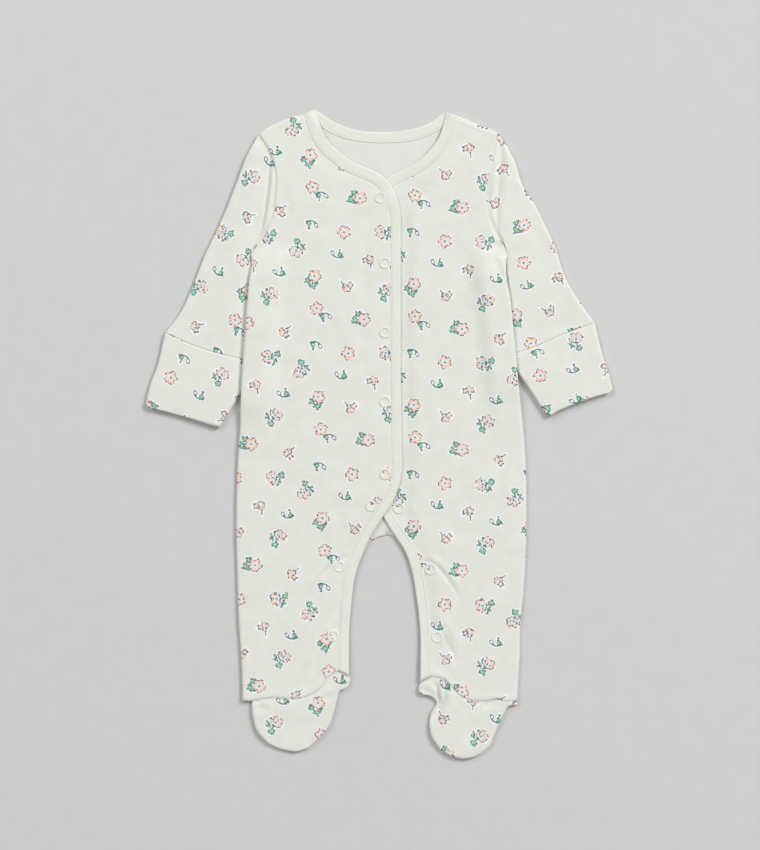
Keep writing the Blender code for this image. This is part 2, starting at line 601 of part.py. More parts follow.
def foot_piece(name, ankle, outer, inner, toe, faces_up, finish):
    """A foot's upper or sole, from where it is set in at the ankle to its outline."""
    outer_rows = np.array([0, 0.13, 0.2, 0.36, 0.5, 0.62, 0.74, 0.87, 0.965, 0.985, 0.999, 1])
    inner_rows = np.array([0, 0.1, 0.19, 0.29, 0.41, 0.55, 0.68, 0.83, 0.96, 0.985, 0.999, 1])
    seam = np.array([outer[0], *[(x, y + SET_IN) for x, y in ankle[2:-1]], inner[0]])
    steps = np.tile(EDGE_STEPS, (len(outer_rows), 1))
    grid = fill(spaced(outer, outer_rows), spaced(inner, inner_rows), seam, toe, steps, steps, 3)
    grid = close_rows(grid, SET_ROWS)
    x, y, from_outer, from_inner = np.moveaxis(grid, 2, 0)
    rise = rounded(np.minimum(np.minimum(from_outer, from_inner), up_from_foot(grid)))
    near_head = 1 - ease((down_from_head(grid) - SET_ROWS[0]) / (SET_ROWS[-1] - SET_ROWS[0]))
    split = (SET_TOP + SET_LOW) / 2
    if faces_up:
        split += SEAM_HALF
        z = LOFT - 0.3 + folds(x, y)
        z = z + (SET_TOP - z) * near_head
    else:
        split -= SEAM_HALF
        z = SET_LOW * near_head
    sheet(name, np.dstack([x, y, split + (z - split) * rise]), finish, WALL, faces_up)


def snap_mesh(finish):
    """The ring of an open snap cap, turned about Z."""
    outer, inner, tall, soft = (size * MM for size in (SNAP_OUTER, SNAP_INNER, SNAP_TALL, 0.3))
    profile = ((inner, 0), (inner, tall), (outer - soft, tall), (outer, tall - soft), (outer, 0))
    mesh = bpy.data.meshes.new("snap")
    bm = bmesh.new()
    ring = [bm.verts.new((radius, 0, z)) for radius, z in profile]
    loop = [bm.edges.new((ring[n - 1], ring[n])) for n in range(len(ring))]
    turn = {"axis": (0, 0, 1), "cent": (0, 0, 0), "angle": 2 * np.pi}
    bmesh.ops.spin(bm, geom=ring + loop, steps=SNAP_STEPS, use_merge=True, **turn)
    bmesh.ops.recalc_face_normals(bm, faces=bm.faces)
    bm.to_mesh(mesh)
    bm.free()
    mesh.shade_smooth()
    mesh.set_sharp_from_angle(angle=np.radians(40))
    mesh.materials.append(finish)
    return mesh


def snaps(fronts, finish):
    """Each ring just clear of the highest cloth under it."""
    mesh = snap_mesh(finish)
    trees = []
    for piece in fronts:
        corners = [vert.co for vert in piece.data.vertices]
        trees.append(BVHTree.FromPolygons(corners, [face.vertices for face in piece.data.polygons]))
    turns = np.linspace(0, 2 * np.pi, 12, endpoint=False)
    for number, (x, y) in enumerate(SNAPS, 1):
        spots = [(x + SNAP_OUTER * np.cos(turn), y + SNAP_OUTER * np.sin(turn)) for turn in turns]
        hits = [tree.ray_cast((a * MM, b * MM, 1), (0, 0, -1))[0] for a, b in spots for tree in trees]
        ring = bpy.data.objects.new(f"snap_{number:02d}", mesh)
        ring.location = (x * MM, y * MM, max(hit.z for hit in hits if hit) + SEAM_GAP * MM)
        SUIT.objects.link(ring)


def finish_of(name, colour, roughness):
    finish = bpy.data.materials.new(name)
    finish.use_nodes = True
    shader = finish.node_tree.nodes["Principled BSDF"]
    shader.inputs["Base Color"].default_value = (*colour, 1)
    shader.inputs["Roughness"].default_value = roughness
    shader.inputs["Metallic"].default_value = 0
    return finish


for thing in list(bpy.data.objects):
    bpy.data.objects.remove(thing)
SUIT = bpy.data.collections.new("footed_sleepsuit")
bpy.context.scene.collection.children.link(SUIT)

jersey = finish_of("ivory_jersey", (0.79, 0.79, 0.73), 0.9)
binding = finish_of("cream_binding", (0.80, 0.80, 0.71), 0.88)
snap_finish = finish_of("cream_snap", (0.82, 0.81, 0.74), 0.45)

back(jersey)
right_front = front("right_front", RIGHT_SIDE, RIGHT_EDGE, RIGHT_SHOULDER, RIGHT_ANKLE, jersey)
left_front = front("left_front", LEFT_SIDE, LEFT_EDGE, LEFT_SHOULDER, LEFT_ANKLE, jersey)
band("right_band", RIGHT_EDGE, 1, RIGHT_PEAK, RIGHT_BAND_FOOT, binding)
band("left_band", LEFT_EDGE, -1, LEFT_PEAK, LEFT_BAND_FOOT, binding)
neck_band(binding)

SLEEVE_ROWS = np.arange(9.0)
CUFF_ROWS = np.linspace(0, 3, 5)
right_head = armhole(RIGHT_SIDE, RIGHT_SLEEVE, -1)
left_head = armhole(LEFT_SIDE, LEFT_SLEEVE, 1)
tube("right_sleeve", RIGHT_SLEEVE, right_head, RIGHT_CUFF_SEAM, SLEEVE_ROWS, WALL, jersey, fade=5)
tube("left_sleeve", LEFT_SLEEVE, left_head, LEFT_CUFF_SEAM, SLEEVE_ROWS, WALL, jersey, fade=5)
for name, rows, seam, end, aside in (
    ("right_cuff", RIGHT_CUFF, RIGHT_CUFF_SEAM, RIGHT_CUFF_END, (-0.12, -0.36)),
    ("left_cuff", LEFT_CUFF, LEFT_CUFF_SEAM, LEFT_CUFF_END, (0.12, -0.36)),
):
    moved = np.array(rows) + (*aside, *aside, 0, 0)
    tube(name, moved, np.array(seam) + aside, np.array(end) + aside, CUFF_ROWS, CUFF_WALL, jersey)

foot_piece("right_foot_top", RIGHT_ANKLE, RIGHT_FOOT_OUTER, RIGHT_FOOT_INNER, RIGHT_FOOT_TOE, True, jersey)
foot_piece("right_sole", RIGHT_ANKLE, RIGHT_FOOT_OUTER, RIGHT_FOOT_INNER, RIGHT_FOOT_TOE, False, jersey)
foot_piece("left_foot_top", LEFT_ANKLE, LEFT_FOOT_OUTER, LEFT_FOOT_INNER, LEFT_FOOT_TOE, True, jersey)
foot_piece("left_sole", LEFT_ANKLE, LEFT_FOOT_OUTER, LEFT_FOOT_INNER, LEFT_FOOT_TOE, False, jersey)

snaps((right_front, left_front), snap_finish)
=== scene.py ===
"""A footed baby sleepsuit, size 0 to 3 months, laid flat on its back on a pale floor, snaps fastened.

+Y runs up to the neck, +Z out through the front, and the wearer's right side is at -X. Tables and
sizes are in millimetres, and MM turns them into metres where a mesh is written.
"""

import bmesh
import bpy
import numpy as np
from mathutils import Matrix
from mathutils.bvhtree import BVHTree


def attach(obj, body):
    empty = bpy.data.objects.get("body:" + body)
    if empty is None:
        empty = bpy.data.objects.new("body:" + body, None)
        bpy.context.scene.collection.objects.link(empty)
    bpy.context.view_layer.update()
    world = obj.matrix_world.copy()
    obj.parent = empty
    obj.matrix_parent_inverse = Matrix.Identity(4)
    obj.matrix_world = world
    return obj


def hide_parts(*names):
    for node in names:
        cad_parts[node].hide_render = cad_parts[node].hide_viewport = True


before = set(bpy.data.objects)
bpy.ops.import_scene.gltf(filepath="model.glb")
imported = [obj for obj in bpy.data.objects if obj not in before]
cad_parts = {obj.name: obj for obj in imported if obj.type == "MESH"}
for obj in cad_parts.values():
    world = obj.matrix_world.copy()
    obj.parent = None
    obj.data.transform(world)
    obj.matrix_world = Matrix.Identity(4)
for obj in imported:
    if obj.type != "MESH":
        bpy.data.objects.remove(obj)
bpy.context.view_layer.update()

MM = 0.001

# Cloth and how the layers lie on each other.
JERSEY_WALL = 0.8
CUFF_WALL = 1.1  # the cuff is turned back on itself
BINDING_WALL = 0.6
SEAM_HALF = 0.12  # from a closed seam to the rolled edge of the layer above or below it
EDGE_ROUND, EDGE_BLUNT = 2.6, 0.25  # how far in a side seam's soft edge reaches, and its blunt start
SEAM_HEIGHT = 2.1  # a side seam above the surface, and the layers' reach above and below it
LOFT = 4.5  # top of the front panels above the surface
LAP_TOP = 4.9  # top of a front where a sleeve or foot is set in under it
LAP_DROP = 0.55  # how far a front's edge turns down onto the sleeve or foot set in under it
SET_IN = 2.5  # how far a sleeve or foot reaches in under the front and over the back
SET_TOP, SET_LOW = 3.8, 1.25  # top and underside of a sleeve or foot there
SET_ROWS = (4.0, 4.7, 5.4, 6.2, 7.0, 7.8)  # where it takes its own thickness, from its end
BINDING_RISE = 0.3  # a binding stands this much above the panel beside it
LIFT_FLAT, LIFT_FADE = 18.0, 16.0  # how far in a raised side seam lifts the panels
LAP_FLAT, LAP_FADE = 3.0, 7.0  # how far in a front keeps LAP_TOP, and how far it takes to settle to LOFT
EDGE_FADE = 12.0  # a panel settles from its front edge's height to LOFT over this much
LAP_TURN = 1.5  # a front's edge turns down over this much
EDGE_DIP, EDGE_DIP_WIDE = 0.2, 1.4  # a panel dips where it goes in under its binding
SHOULDER_LINES = ((0.25, 3.3, 0.6), (-0.4, 2.4, 0.45))  # beside it: height, place, width
UNDER_UP_TO, UNDER_FADE = 146, 12  # a sleeve lies under the body up to here, fading over this much
GROOVE_DEEP, GROOVE_WIDE = 0.6, 1.1  # the seam between sleeve and cuff
NECK_TOP = 1.3  # top of the back neck's binding
BINDING_END = 0.04  # the first and last part of a binding, where its free edge runs to its end point
FOLD_DROP, FOLD_WIDE, FOLD_ROWS = 2.3, 5.0, 2.2  # how a binding folds down at the neck's highest point
ROLL_WIDE, ROLL_DROP = 0.9, 0.75  # a binding's roll at its seam
RIM_WIDE, RIM_DROP = 1.1, 1.25  # and at its free edge
STITCH_IN, STITCH_DENT = 1.6, 0.16  # a binding's row of stitches, in from its seam, and its dent

# Side edges from shoulder to ankle: the armhole, the side seam and the hem corner.
# x, y, and how much the seam is raised, where the sleeve and cuff lie under it.
RIGHT_SIDE = (
    (-102, 254.5, 0),
    (-95.5, 245, 0),
    (-91, 236, 0),
    (-88, 225, 0),
    (-87.5, 213, 0),
    (-88.5, 197, 0),
    (-90.5, 184, 0),
    (-95.5, 173, 0),
    (-101.5, 163, 0),
    (-108, 154.5, 0),
    (-108.5, 143, 2.2),
    (-110, 132, 3.6),
    (-112.5, 106, 3.6),
    (-114.5, 78, 3.6),
    (-116.5, 50, 3.6),
    (-117.5, 29, 3.6),
    (-118, 7, 1.2),
    (-120, -20, 0),
    (-121, -45, 0),
    (-121.5, -68, 0),
    (-121.5, -86, 0),
    (-121, -104, 0),
    (-120.5, -122, 0),
    (-120, -142, 0),
    (-119, -165, 0),
    (-117.5, -186, 0),
    (-116.5, -207, 0),
    (-116.3, -226.5, 0),
)
LEFT_SIDE = (
    (100.5, 256, 0),
    (99.5, 246, 0),
    (97.5, 237, 0),
    (96, 227.5, 0),
    (94, 217.5, 0),
    (91.2, 204, 0),
    (91.5, 194, 0),
    (94.5, 182, 0),
    (99.5, 168, 0),
    (109, 155.5, 0),
    (108, 146, 2.2),
    (108, 136, 3.6),
    (111.5, 115, 3.6),
    (114, 91, 3.6),
    (116.5, 65, 3.6),
    (118.5, 42, 3.6),
    (121, 19, 1.6),
    (123.5, -6, 0),
    (125, -30, 0),
    (125.3, -60, 0),
    (125.2, -86, 0),
    (124.5, -106, 0),
    (123.5, -124, 0),
    (122, -142, 0),
    (120, -164, 0),
    (119.7, -187, 0),
    (118.5, -207, 0),
    (117.3, -226, 0),
)
UNDERARM = 9  # row of both side tables

# Front edges, along the seam of their binding, row for row with the side tables.
# x, y, height of the panel there, how far in it stays at that height, width of the binding.
RIGHT_EDGE = (
    (-63.5, 272, 4.1, 0, 10.5),
    (-61.5, 264, 4.1, 0, 10.5),
    (-58.5, 255.5, 4.1, 0, 10.5),
    (-54.5, 247, 4.1, 0, 10.5),
    (-48.5, 239, 4.1, 0, 10.5),
    (-39.5, 231, 4.1, 0, 10.3),
    (-29, 223.5, 4.2, 0, 10),
    (-16, 218, 4.4, 8, 9.5),
    (-4, 212.5, 4.6, 16, 9.5),
    (4.5, 203, 4.6, 20, 9.2),
    (9.3, 189, 4.6, 22, 8.6),
    (10, 170, 4.6, 22, 8.4),
    (10, 134, 4.6, 22, 8.4),
    (10, 97, 4.6, 22, 8.4),
    (10, 61, 4.6, 22, 8.4),
    (10.3, 32, 4.6, 22, 8.4),
    (10.5, 7, 4.6, 22, 8.4),
    (10.8, -13, 4.6, 22, 8.4),
    (11, -28, 4.6, 22, 8.4),
    (9, -41.5, 4.6, 20, 8.4),
    (4.5, -52.5, 4.6, 14, 8.6),
    (-4.5, -66, 4.6, 8, 8.8),
    (-14, -80.5, 4, 0, 9),
    (-23.5, -101.5, 3.2, 0, 9),
    (-29.7, -121.5, 3.2, 0, 9),
    (-32.6, -144, 3.2, 0, 9),
    (-33.8, -172, 3.2, 0, 8.2),
    (-34, -201, 5.1, 0, 8.2),
)
LEFT_EDGE = (
    (66, 270.5, 4.1, 0, 10),
    (64.3, 261, 4.1, 0, 10),
    (61.7, 252, 4.1, 0, 10),
    (57.3, 243.5, 4.1, 0, 10),
    (51, 235.5, 4.1, 0, 10),
    (42.5, 227.5, 3.8, 0, 9.5),
    (33, 221, 3.3, 4, 9),
    (23, 216.5, 2.6, 8, 8.5),
    (13, 211.5, 2.6, 14, 8.5),
    (4.5, 203, 2.6, 18, 8.5),
    (1, 189, 2.6, 20, 8.5),
    (0.5, 170, 2.6, 20.5, 8.5),
    (0.5, 134, 2.6, 20.5, 8.5),
    (0.5, 97, 2.6, 20.5, 8.5),
    (0.5, 61, 2.6, 20.5, 8.5),
    (0.5, 32, 2.6, 20.5, 8.5),
    (0.5, 7, 2.6, 20.5, 8.5),
    (0.5, -13, 2.6, 20.5, 8.5),
    (0.8, -31, 2.6, 20.5, 8.5),
    (3.2, -47, 2.6, 16, 8.5),
    (8, -60.5, 2.6, 8, 8.5),
    (14.5, -72, 2.8, 2, 8.7),
    (22, -83, 3.2, 0, 9),
    (30, -95.5, 3.2, 0, 9),
    (36.5, -114, 3.2, 0, 9),
    (40.7, -137.5, 3.2, 0, 9),
    (43.3, -168, 3.2, 0, 8.4),
    (43.8, -206, 5.1, 0, 8.4),
)

# The neck's highest points, where the binding folds over, and the ends of the leg bindings.
RIGHT_PEAK, LEFT_PEAK = (-55, 276), (56.3, 273.8)
RIGHT_BAND_FOOT, LEFT_BAND_FOOT = (-25.6, -205.5), (35, -210.5)

# Shoulders, from armhole to neck.
RIGHT_SHOULDER = ((-102, 254.5), (-98, 258.3), (-88, 263.6), (-75.5, 269), (-63.5, 272))
LEFT_SHOULDER = ((100.5, 256), (94, 259.5), (83.5, 263.3), (75, 267), (66, 270.5))

# Back neck: the seam of its binding, and the binding's free edge. x, y, x, y.
BACK_NECK = (
    (-63.5, 272, -55, 276),
    (-56, 266, -51.3, 274.3),
    (-49, 261, -44.5, 269.2),
    (-40, 255.5, -35.8, 264.4),
    (-28.5, 251.3, -25, 260.2),
    (-13, 248.4, -11.5, 257.6),
    (3.5, 247.5, 3.5, 257),
    (20, 248.3, 19.5, 258.2),
    (36, 251.5, 33.5, 261.2),
    (48, 256.5, 43.8, 265.2),
    (57, 262.8, 50.8, 270.2),
    (66, 270.5, 56.3, 273.8),
)

# Middle of the back, from neck to crotch, and the back's inner leg edges from the crotch down.
BACK_MIDDLE = (
    (3.5, 247.5), (3.5, 239), (3.5, 230), (3.5, 221), (3.5, 210), (3.5, 198), (3.5, 186),
    (3.5, 175), (3.5, 165), (3.5, 156), (3.5, 146), (3.5, 134), (3.6, 111), (3.9, 86),
    (4.3, 58), (4.7, 35), (5.2, 12), (5.8, -13), (6.4, -38), (7, -64), (7.5, -85.7),
)
RIGHT_INNER_LEG = (
    (7.5, -85.7), (-3, -89), (-11.5, -95.5), (-19.5, -109), (-24.5, -130), (-27, -154),
    (-28, -180), (-27, -205.5),
)
LEFT_INNER_LEG = (
    (7.5, -85.7), (15.3, -88.5), (20.5, -93.5), (27, -107), (32.5, -127), (36.5, -152),
    (37.5, -180), (36.5, -210.5),
)
CROTCH_PATCH_TOP = -50.0  # below this the back's inner face is printed, where the leg openings show it

# Seams where the feet join the legs, from the outer side to the inner leg.
RIGHT_ANKLE = (
    (-116.3, -226.5), (-108.5, -226.5), (-97, -224.7), (-87, -224.2), (-76, -225),
    (-66, -224.2), (-58, -221.5), (-51, -217), (-44, -209), (-38.5, -203), (-34, -201),
)
LEFT_ANKLE = (
    (117.3, -226), (109, -227.3), (99, -225.2), (90, -226.5), (80, -226.5), (71, -223.5),
    (65, -218.5), (60, -212.5), (56, -208.8), (50, -206.6), (43.8, -206),
)

# Feet: the seam line again, set in under the leg, and each outline's outer side, toe and inner side.
RIGHT_FOOT_OUTER = ((-107.8, -224), (-108.2, -231), (-107.2, -241), (-103.5, -253), (-94.5, -263))
RIGHT_FOOT_TOE = ((-94.5, -263), (-87, -266.5), (-77.5, -269.2), (-70, -270), (-59.5, -266.5))
RIGHT_FOOT_INNER = (
    (-28, -203), (-24.7, -208.5), (-27.5, -215.8), (-33.4, -218.6), (-35.5, -225),
    (-38.5, -236.5), (-42.5, -248), (-51, -258.8), (-59.5, -266.5),
)
LEFT_FOOT_OUTER = (
    (113.5, -224.5), (118, -229.5), (110, -231.8), (106.3, -237.5), (102.3, -245.5), (94.5, -264.5),
)
LEFT_FOOT_TOE = (
    (94.5, -264.5), (88, -270.7), (79, -275.2), (70.5, -276.2), (61.5, -274), (52, -268),
)
LEFT_FOOT_INNER = (
    (37.5, -208.5), (33.4, -216.5), (35.2, -221), (43, -222.6), (49.3, -227.5), (44.6, -237),
    (43, -246), (44.5, -257), (52, -268),
)

# Sleeves, from armhole to cuff seam. x, y of the outer edge and of the inner edge, which lies under
# the body below the underarm, then the sleeve's height in its middle and at its inner edge.
RIGHT_SLEEVE = (
    (-103, 254.4, -104.6, 160.2, 4.2, 3),
    (-113, 235.5, -107, 157.7, 5.2, 3),
    (-121.5, 213, -107.8, 154, 5, 3),
    (-132, 186.5, -107.6, 149.5, 4.8, 3),
    (-141, 167, -107.4, 142.5, 4.7, 3),
    (-148, 152.5, -107.8, 134.5, 4.7, 3),
    (-157.5, 128, -107.5, 114, 4.6, 3),
    (-170, 101.5, -103.3, 86, 4.5, 3),
    (-182, 86, -100, 60.5, 4.4, 3),
)
LEFT_SLEEVE = (
    (102, 256, 104, 163.4, 4.2, 3),
    (115.5, 232, 107.4, 159.4, 5.2, 3),
    (122, 212, 108.4, 155, 5, 3),
    (132.5, 195.5, 107.2, 150, 4.8, 3),
    (140.5, 179.5, 106.4, 144, 4.7, 3),
    (148.5, 162.5, 106.2, 137, 4.7, 3),
    (159.5, 131, 107.5, 118, 4.6, 3),
    (171, 112, 105.3, 92, 4.5, 3),
    (183.5, 94.5, 104, 66, 4.4, 3),
)

# Cuffs, from their seam to their open end, in the same columns.
RIGHT_CUFF = (
    (-182, 86, -100, 60.5, 4.4, 3),
    (-188, 60, -105, 53, 4.7, 3.2),
    (-195.3, 39.5, -117, 35.5, 4.8, 3.2),
    (-198.6, 26, -135.6, 5.6, 4.6, 4),
)
LEFT_CUFF = (
    (183.5, 94.5, 104, 66, 4.4, 3),
    (190.8, 64.5, 109, 60.5, 4.7, 3.2),
    (196.3, 48, 122, 46.5, 4.8, 3.2),
    (198.6, 38, 141, 18, 4.6, 4),
)
RIGHT_CUFF_SEAM = ((-182, 86), (-163, 77.2), (-142.5, 70), (-115.5, 63.5), (-100, 60.5))
LEFT_CUFF_SEAM = ((183.5, 94.5), (161.5, 86.5), (141.5, 78), (121, 70), (104, 66))
RIGHT_CUFF_END = ((-198.6, 26), (-195.5, 22.6), (-186.5, 20.3), (-163, 13.8), (-139.5, 6.6), (-135.6, 5.6))
LEFT_CUFF_END = (
    (198.6, 38), (195.8, 35.2), (190.3, 33.7), (171, 27.1), (160, 22.9), (151.5, 19), (145, 15.6),
    (141, 18),
)

# Creases. Width and height of each (a trough is negative), then the line along its bottom or crest.
BODY_CREASES = (
    (3.6, -0.6, ((97.9, 149.3), (103.5, 136.6), (108.4, 123.8))),
    (3, 0.4, ((102, 152), (107, 140), (111, 128))),
    (1.6, -1, ((-25.5, -104.3), (-32.5, -106.5), (-42.3, -113.1), (-50.8, -122.6), (-56.4, -135.4))),
    (3.2, 0.55, ((-36, -105.5), (-47, -112.5), (-56, -124), (-61, -136))),
    (1.7, -1.1, ((-34.4, -162.9), (-41, -167.8), (-49.5, -178.8), (-53.2, -190), (-56.1, -207))),
    (3.8, 0.65, ((-42, -162), (-52, -174), (-58.5, -190), (-62, -205))),
    (1.5, -1.1, ((36.7, -108.9), (43, -108.8), (48.8, -112), (57.3, -121.7), (64, -132), (70, -142))),
    (3.2, 0.55, ((44, -105.5), (53, -110), (62.5, -121), (71, -133))),
    (1.5, -1.2, ((43.5, -161.5), (51.2, -168.8), (58.5, -178.8), (64.5, -190), (67, -199))),
    (3.4, 0.6, ((48.5, -155), (58.5, -162), (65.5, -174), (70.5, -187))),
    (3.4, -0.35, ((-11.5, 186), (-12.5, 90), (-11.5, 0), (-13, -34))),
    (7, 0.3, ((-22, 170), (-25, 60), (-22, -20))),
    (10, 0.4, ((92, 236), (86, 210), (86, 190))),
    (12, -0.35, ((-80, 30), (-92, -10), (-96, -60))),
    (11, 0.35, ((60, 20), (82, -15), (90, -70))),
    (13, -0.4, ((70, 120), (56, 70), (62, 10))),
    (4, -0.45, ((-36, -67.4), (-31.7, -80.1), (-23.2, -85))),
    (6, -0.35, ((-6, -62), (-26, -66), (-50, -60))),
    (6, 0.3, ((-3, -52), (-24, -54), (-44, -46))),
    (6, -0.3, ((20, -70), (38, -74), (58, -66))),
    (3, -0.4, ((3.5, 134), (-4, 128), (-12, 118))),
    (3, -0.4, ((2, 194), (-8, 186), (-14, 174))),
    (5, -0.3, ((-112, 150), (-103, 128), (-98, 96))),
    (8, 0.35, ((-104, 100), (-106, 60), (-104, 20))),
)
SLEEVE_CREASES = (
    (1.6, -1.8, ((-93, 236), (-93.4, 216), (-95.8, 199), (-97.7, 186), (-100.3, 173.4), (-108.5, 154))),
    (5.5, -1.7, ((-96.5, 236), (-97, 216), (-99.5, 199), (-101.5, 186), (-104.5, 173.4), (-112, 152))),
    (1.9, 1.3, ((-90, 232), (-90.2, 216), (-92.4, 199), (-94.2, 187), (-97, 175), (-103, 163))),
    (2, -0.5, ((-103, 200), (-108, 180), (-114, 160), (-117, 140))),
    (2, -1.3, ((104, 251.3), (103.5, 235.7), (102.2, 218.7), (100, 193.2), (100.7, 172), (105.7, 160.7))),
    (4, 0.8, ((110, 248), (109.5, 232), (107.5, 212), (106, 192), (108, 172))),
    (2, 0.5, ((98, 240), (97.5, 218), (95, 196))),
    (9, -0.4, ((-128, 190), (-140, 150), (-150, 110))),
    (8, 0.35, ((-118, 170), (-128, 130), (-130, 90))),
    (9, -0.4, ((128, 205), (138, 160), (152, 112))),
    (8, 0.35, ((116, 170), (124, 130), (130, 95))),
    (7, -0.4, ((170, 96), (150, 92), (128, 82))),
)
FOOT_CREASES = (
    (1.9, -2.9, ((57.4, -210), (56.6, -217), (55.3, -222.7), (51.9, -231.2), (45.9, -241.4), (43, -248))),
    (1.8, -2.4, ((48, -212), (49.6, -219), (50.4, -224), (50.2, -230), (48.5, -235))),
    (1.9, 1.3, ((53.4, -212), (53, -219), (52.6, -225), (50, -233))),
    (3, 0.7, ((61, -218), (60, -228), (56, -238), (50, -248))),
    (3.2, 0.8, ((63.5, -220), (62, -233), (55, -245))),
    (1.8, -0.9, ((35.4, -216.2), (43, -219.5), (50.2, -227.5))),
    (2.4, 0.5, ((40, -213), (47, -216.5), (52, -221))),
    (3.4, -0.8, ((89, -231.5), (102, -228))),
    (3.4, 0.4, ((88, -236.5), (103, -233))),
    (3, -0.9, ((-44.2, -226.1), (-35.7, -219.7))),
    (3.4, 0.5, ((-47, -221), (-38, -216))),
    (3.4, -0.9, ((-104.6, -232), (-93.5, -234.6))),
    (7, 0.4, ((-90, -230), (-70, -234), (-52, -240))),
    (6, -0.3, ((-84, -244), (-72, -252), (-66, -262))),
    (6, -0.3, ((84, -246), (76, -256), (70, -268))),
)

# Snap caps: x, y of the five on the placket, the two at the crotch and the two on each leg.
SNAPS = (
    (1, 201), (5, 145.5), (5, 86.5), (5, 27.5), (5.3, -34),
    (-6.8, -61), (16.8, -63), (-33.8, -112.5), (-39, -171.5), (43.5, -115), (49.5, -172.5),
)
SNAP_OUTER, SNAP_INNER, SNAP_TALL = 4.9, 3.2, 0.55
SNAP_SUNK, SNAP_RIM = 0.3, 0.3  # how far a cap reaches into the cloth, and its soft rims

# The print's repeat and what stands in it: x, y from the repeat's start, turn in degrees (0 has the
# leaves or stem below) and which motif.
REPEAT_WIDE, REPEAT_LONG = 99.5, 102.9
BACK_PRINT = (39.0, 30.0)  # the repeat's start on the back
FLOWER, LEAFED, HALF, BUD, SPRIG = range(5)
PRINT = (
    (5.0, 2.5, -32, LEAFED),
    (6.0, -25.0, 2, FLOWER),
    (13.5, -32.0, 191, SPRIG),
    (4.5, -56.0, 180, SPRIG),
    (-10.0, -78.0, 155, HALF),
    (-22.0, -45.0, 128, BUD),
    (46.0, -35.5, -106, LEAFED),
    (31.5, -64.0, 20, FLOWER),
    (24.5, -82.5, 0, SPRIG),
    (51.0, -88.0, 8, BUD),
    (-36.0, -64.5, 88, HALF),
    (33.0, -7.5, -140, BUD),
    (-25.0, -96.5, 8, SPRIG),
    (-32.0, -12.0, -48, HALF),
)

# The ovals that each motif is drawn with: x, y, long and wide radius, turn. A flower's petal is drawn once
# and stands five times round its middle.
PETAL = (3.55, 0.0, 2.2, 2.15, 0)
HALF_PETALS = (
    (-2.6, 2.8, 2.3, 2.0, 134), (2.0, 3.4, 2.5, 2.1, 114),
    (-3.2, -1.2, 2.9, 1.4, 150), (2.9, -0.6, 3.0, 1.2, 49),
)
HALF_HEART, HALF_MIST = (-0.3, 0.1, 1.3, 0.85, 104), (-0.1, 0.2, 2.1, 1.8, 104)
HALF_TIPS = ((-6.1, 0.2, 0.75, 0.6, 20), (-0.3, -3.1, 0.9, 0.6, 30))
BUD_PETALS = (
    (1.2, 1.9, 2.1, 1.9, 0), (3.6, 0.0, 2.0, 1.5, 85),
    (1.0, -2.4, 1.9, 1.4, -10), (-2.3, 0.2, 2.0, 1.6, 55),
)
BUD_HEART, BUD_MIST = (-0.2, -1.0, 1.1, 0.7, 30), (1.0, -0.2, 2.4, 0.8, 35)
BUD_TIPS = ((-4.1, 1.7, 1.2, 0.5, 45), (-4.3, -1.6, 0.9, 0.55, -28))
FLOWER_LEAVES = (
    (-2.9, -6.0, 2.6, 1.4, -27), (-3.6, -7.4, 1.4, 0.9, 50), (3.0, -7.2, 2.3, 1.7, 10),
    (4.4, -8.8, 1.5, 1.0, -60), (1.4, -8.5, 1.5, 1.0, 40), (4.9, -5.4, 1.4, 0.8, 70),
    (4.6, -3.3, 1.2, 0.6, 60),
)
HALF_LEAVES = (
    (2.0, -7.4, 2.5, 1.8, 64), (0.4, -8.4, 1.3, 0.9, 100), (3.8, -8.2, 1.3, 0.9, 20),
    (-5.1, -4.4, 1.9, 0.8, -18), (-2.8, -5.6, 1.5, 0.8, -12), (-4.0, -6.6, 1.1, 0.6, 40),
)
SPRIG_LEAVES = ((2.7, -1.0, 2.2, 1.7, 75), (4.0, -1.8, 1.5, 1.0, -30), (2.7, 0.9, 1.2, 0.8, 90))
BUD_STEM = ((1.5, -4.6, 0.9, 0.5, 75), (1.3, -6.0, 0.9, 0.45, 85), (1.2, -7.3, 0.8, 0.4, 95))
HALF_STEM = ((0.3, -4.4, 0.8, 0.4, 80), (0.9, -5.6, 0.7, 0.4, 75))
SPRIG_RING, SPRIG_BOWL = (-3.4, 1.1, 2.0, 1.3, 112), (0.9, 0.6, 4.0, 3.4, 0)
SPRIG_DOT = (2.8, 3.6, 0.95, 0.85, 0)


# Lines and grids of points.


def smooth(rows, at):
    """Rows of a table at these row numbers, with fractions for the places between rows."""
    rows = np.asarray(rows, float)
    chord = np.maximum(np.linalg.norm(np.diff(rows[:, :2], axis=0), axis=1), 1e-6)
    rate = np.diff(rows, axis=0) / chord[:, None]
    weight = chord[:-1] / (chord[:-1] + chord[1:])
    inner = rate[:-1] * (1 - weight)[:, None] + rate[1:] * weight[:, None]
    slope = np.vstack([rate[:1], inner, rate[-1:]])
    at = np.asarray(at, float)
    span = np.clip(at.astype(int), 0, len(rows) - 2)
    f = (at - span)[:, None]
    h = chord[span][:, None]
    start, end = rows[span], rows[span + 1]
    return (
        start * (1 + 2 * f) * (1 - f) ** 2
        + end * f * f * (3 - 2 * f)
        + (slope[span] * f * (1 - f) ** 2 - slope[span + 1] * f * f * (1 - f)) * h
    )


def spaced(points, fractions):
    """Points at these fractions of the length of a smooth line through the given ones."""
    dense = smooth(points, np.linspace(0, len(points) - 1, 24 * (len(points) - 1) + 1))
    travel = np.concatenate([[0], np.cumsum(np.linalg.norm(np.diff(dense, axis=0), axis=1))])
    return np.stack([np.interp(fractions * travel[-1], travel, dense[:, k]) for k in (0, 1)], axis=-1)


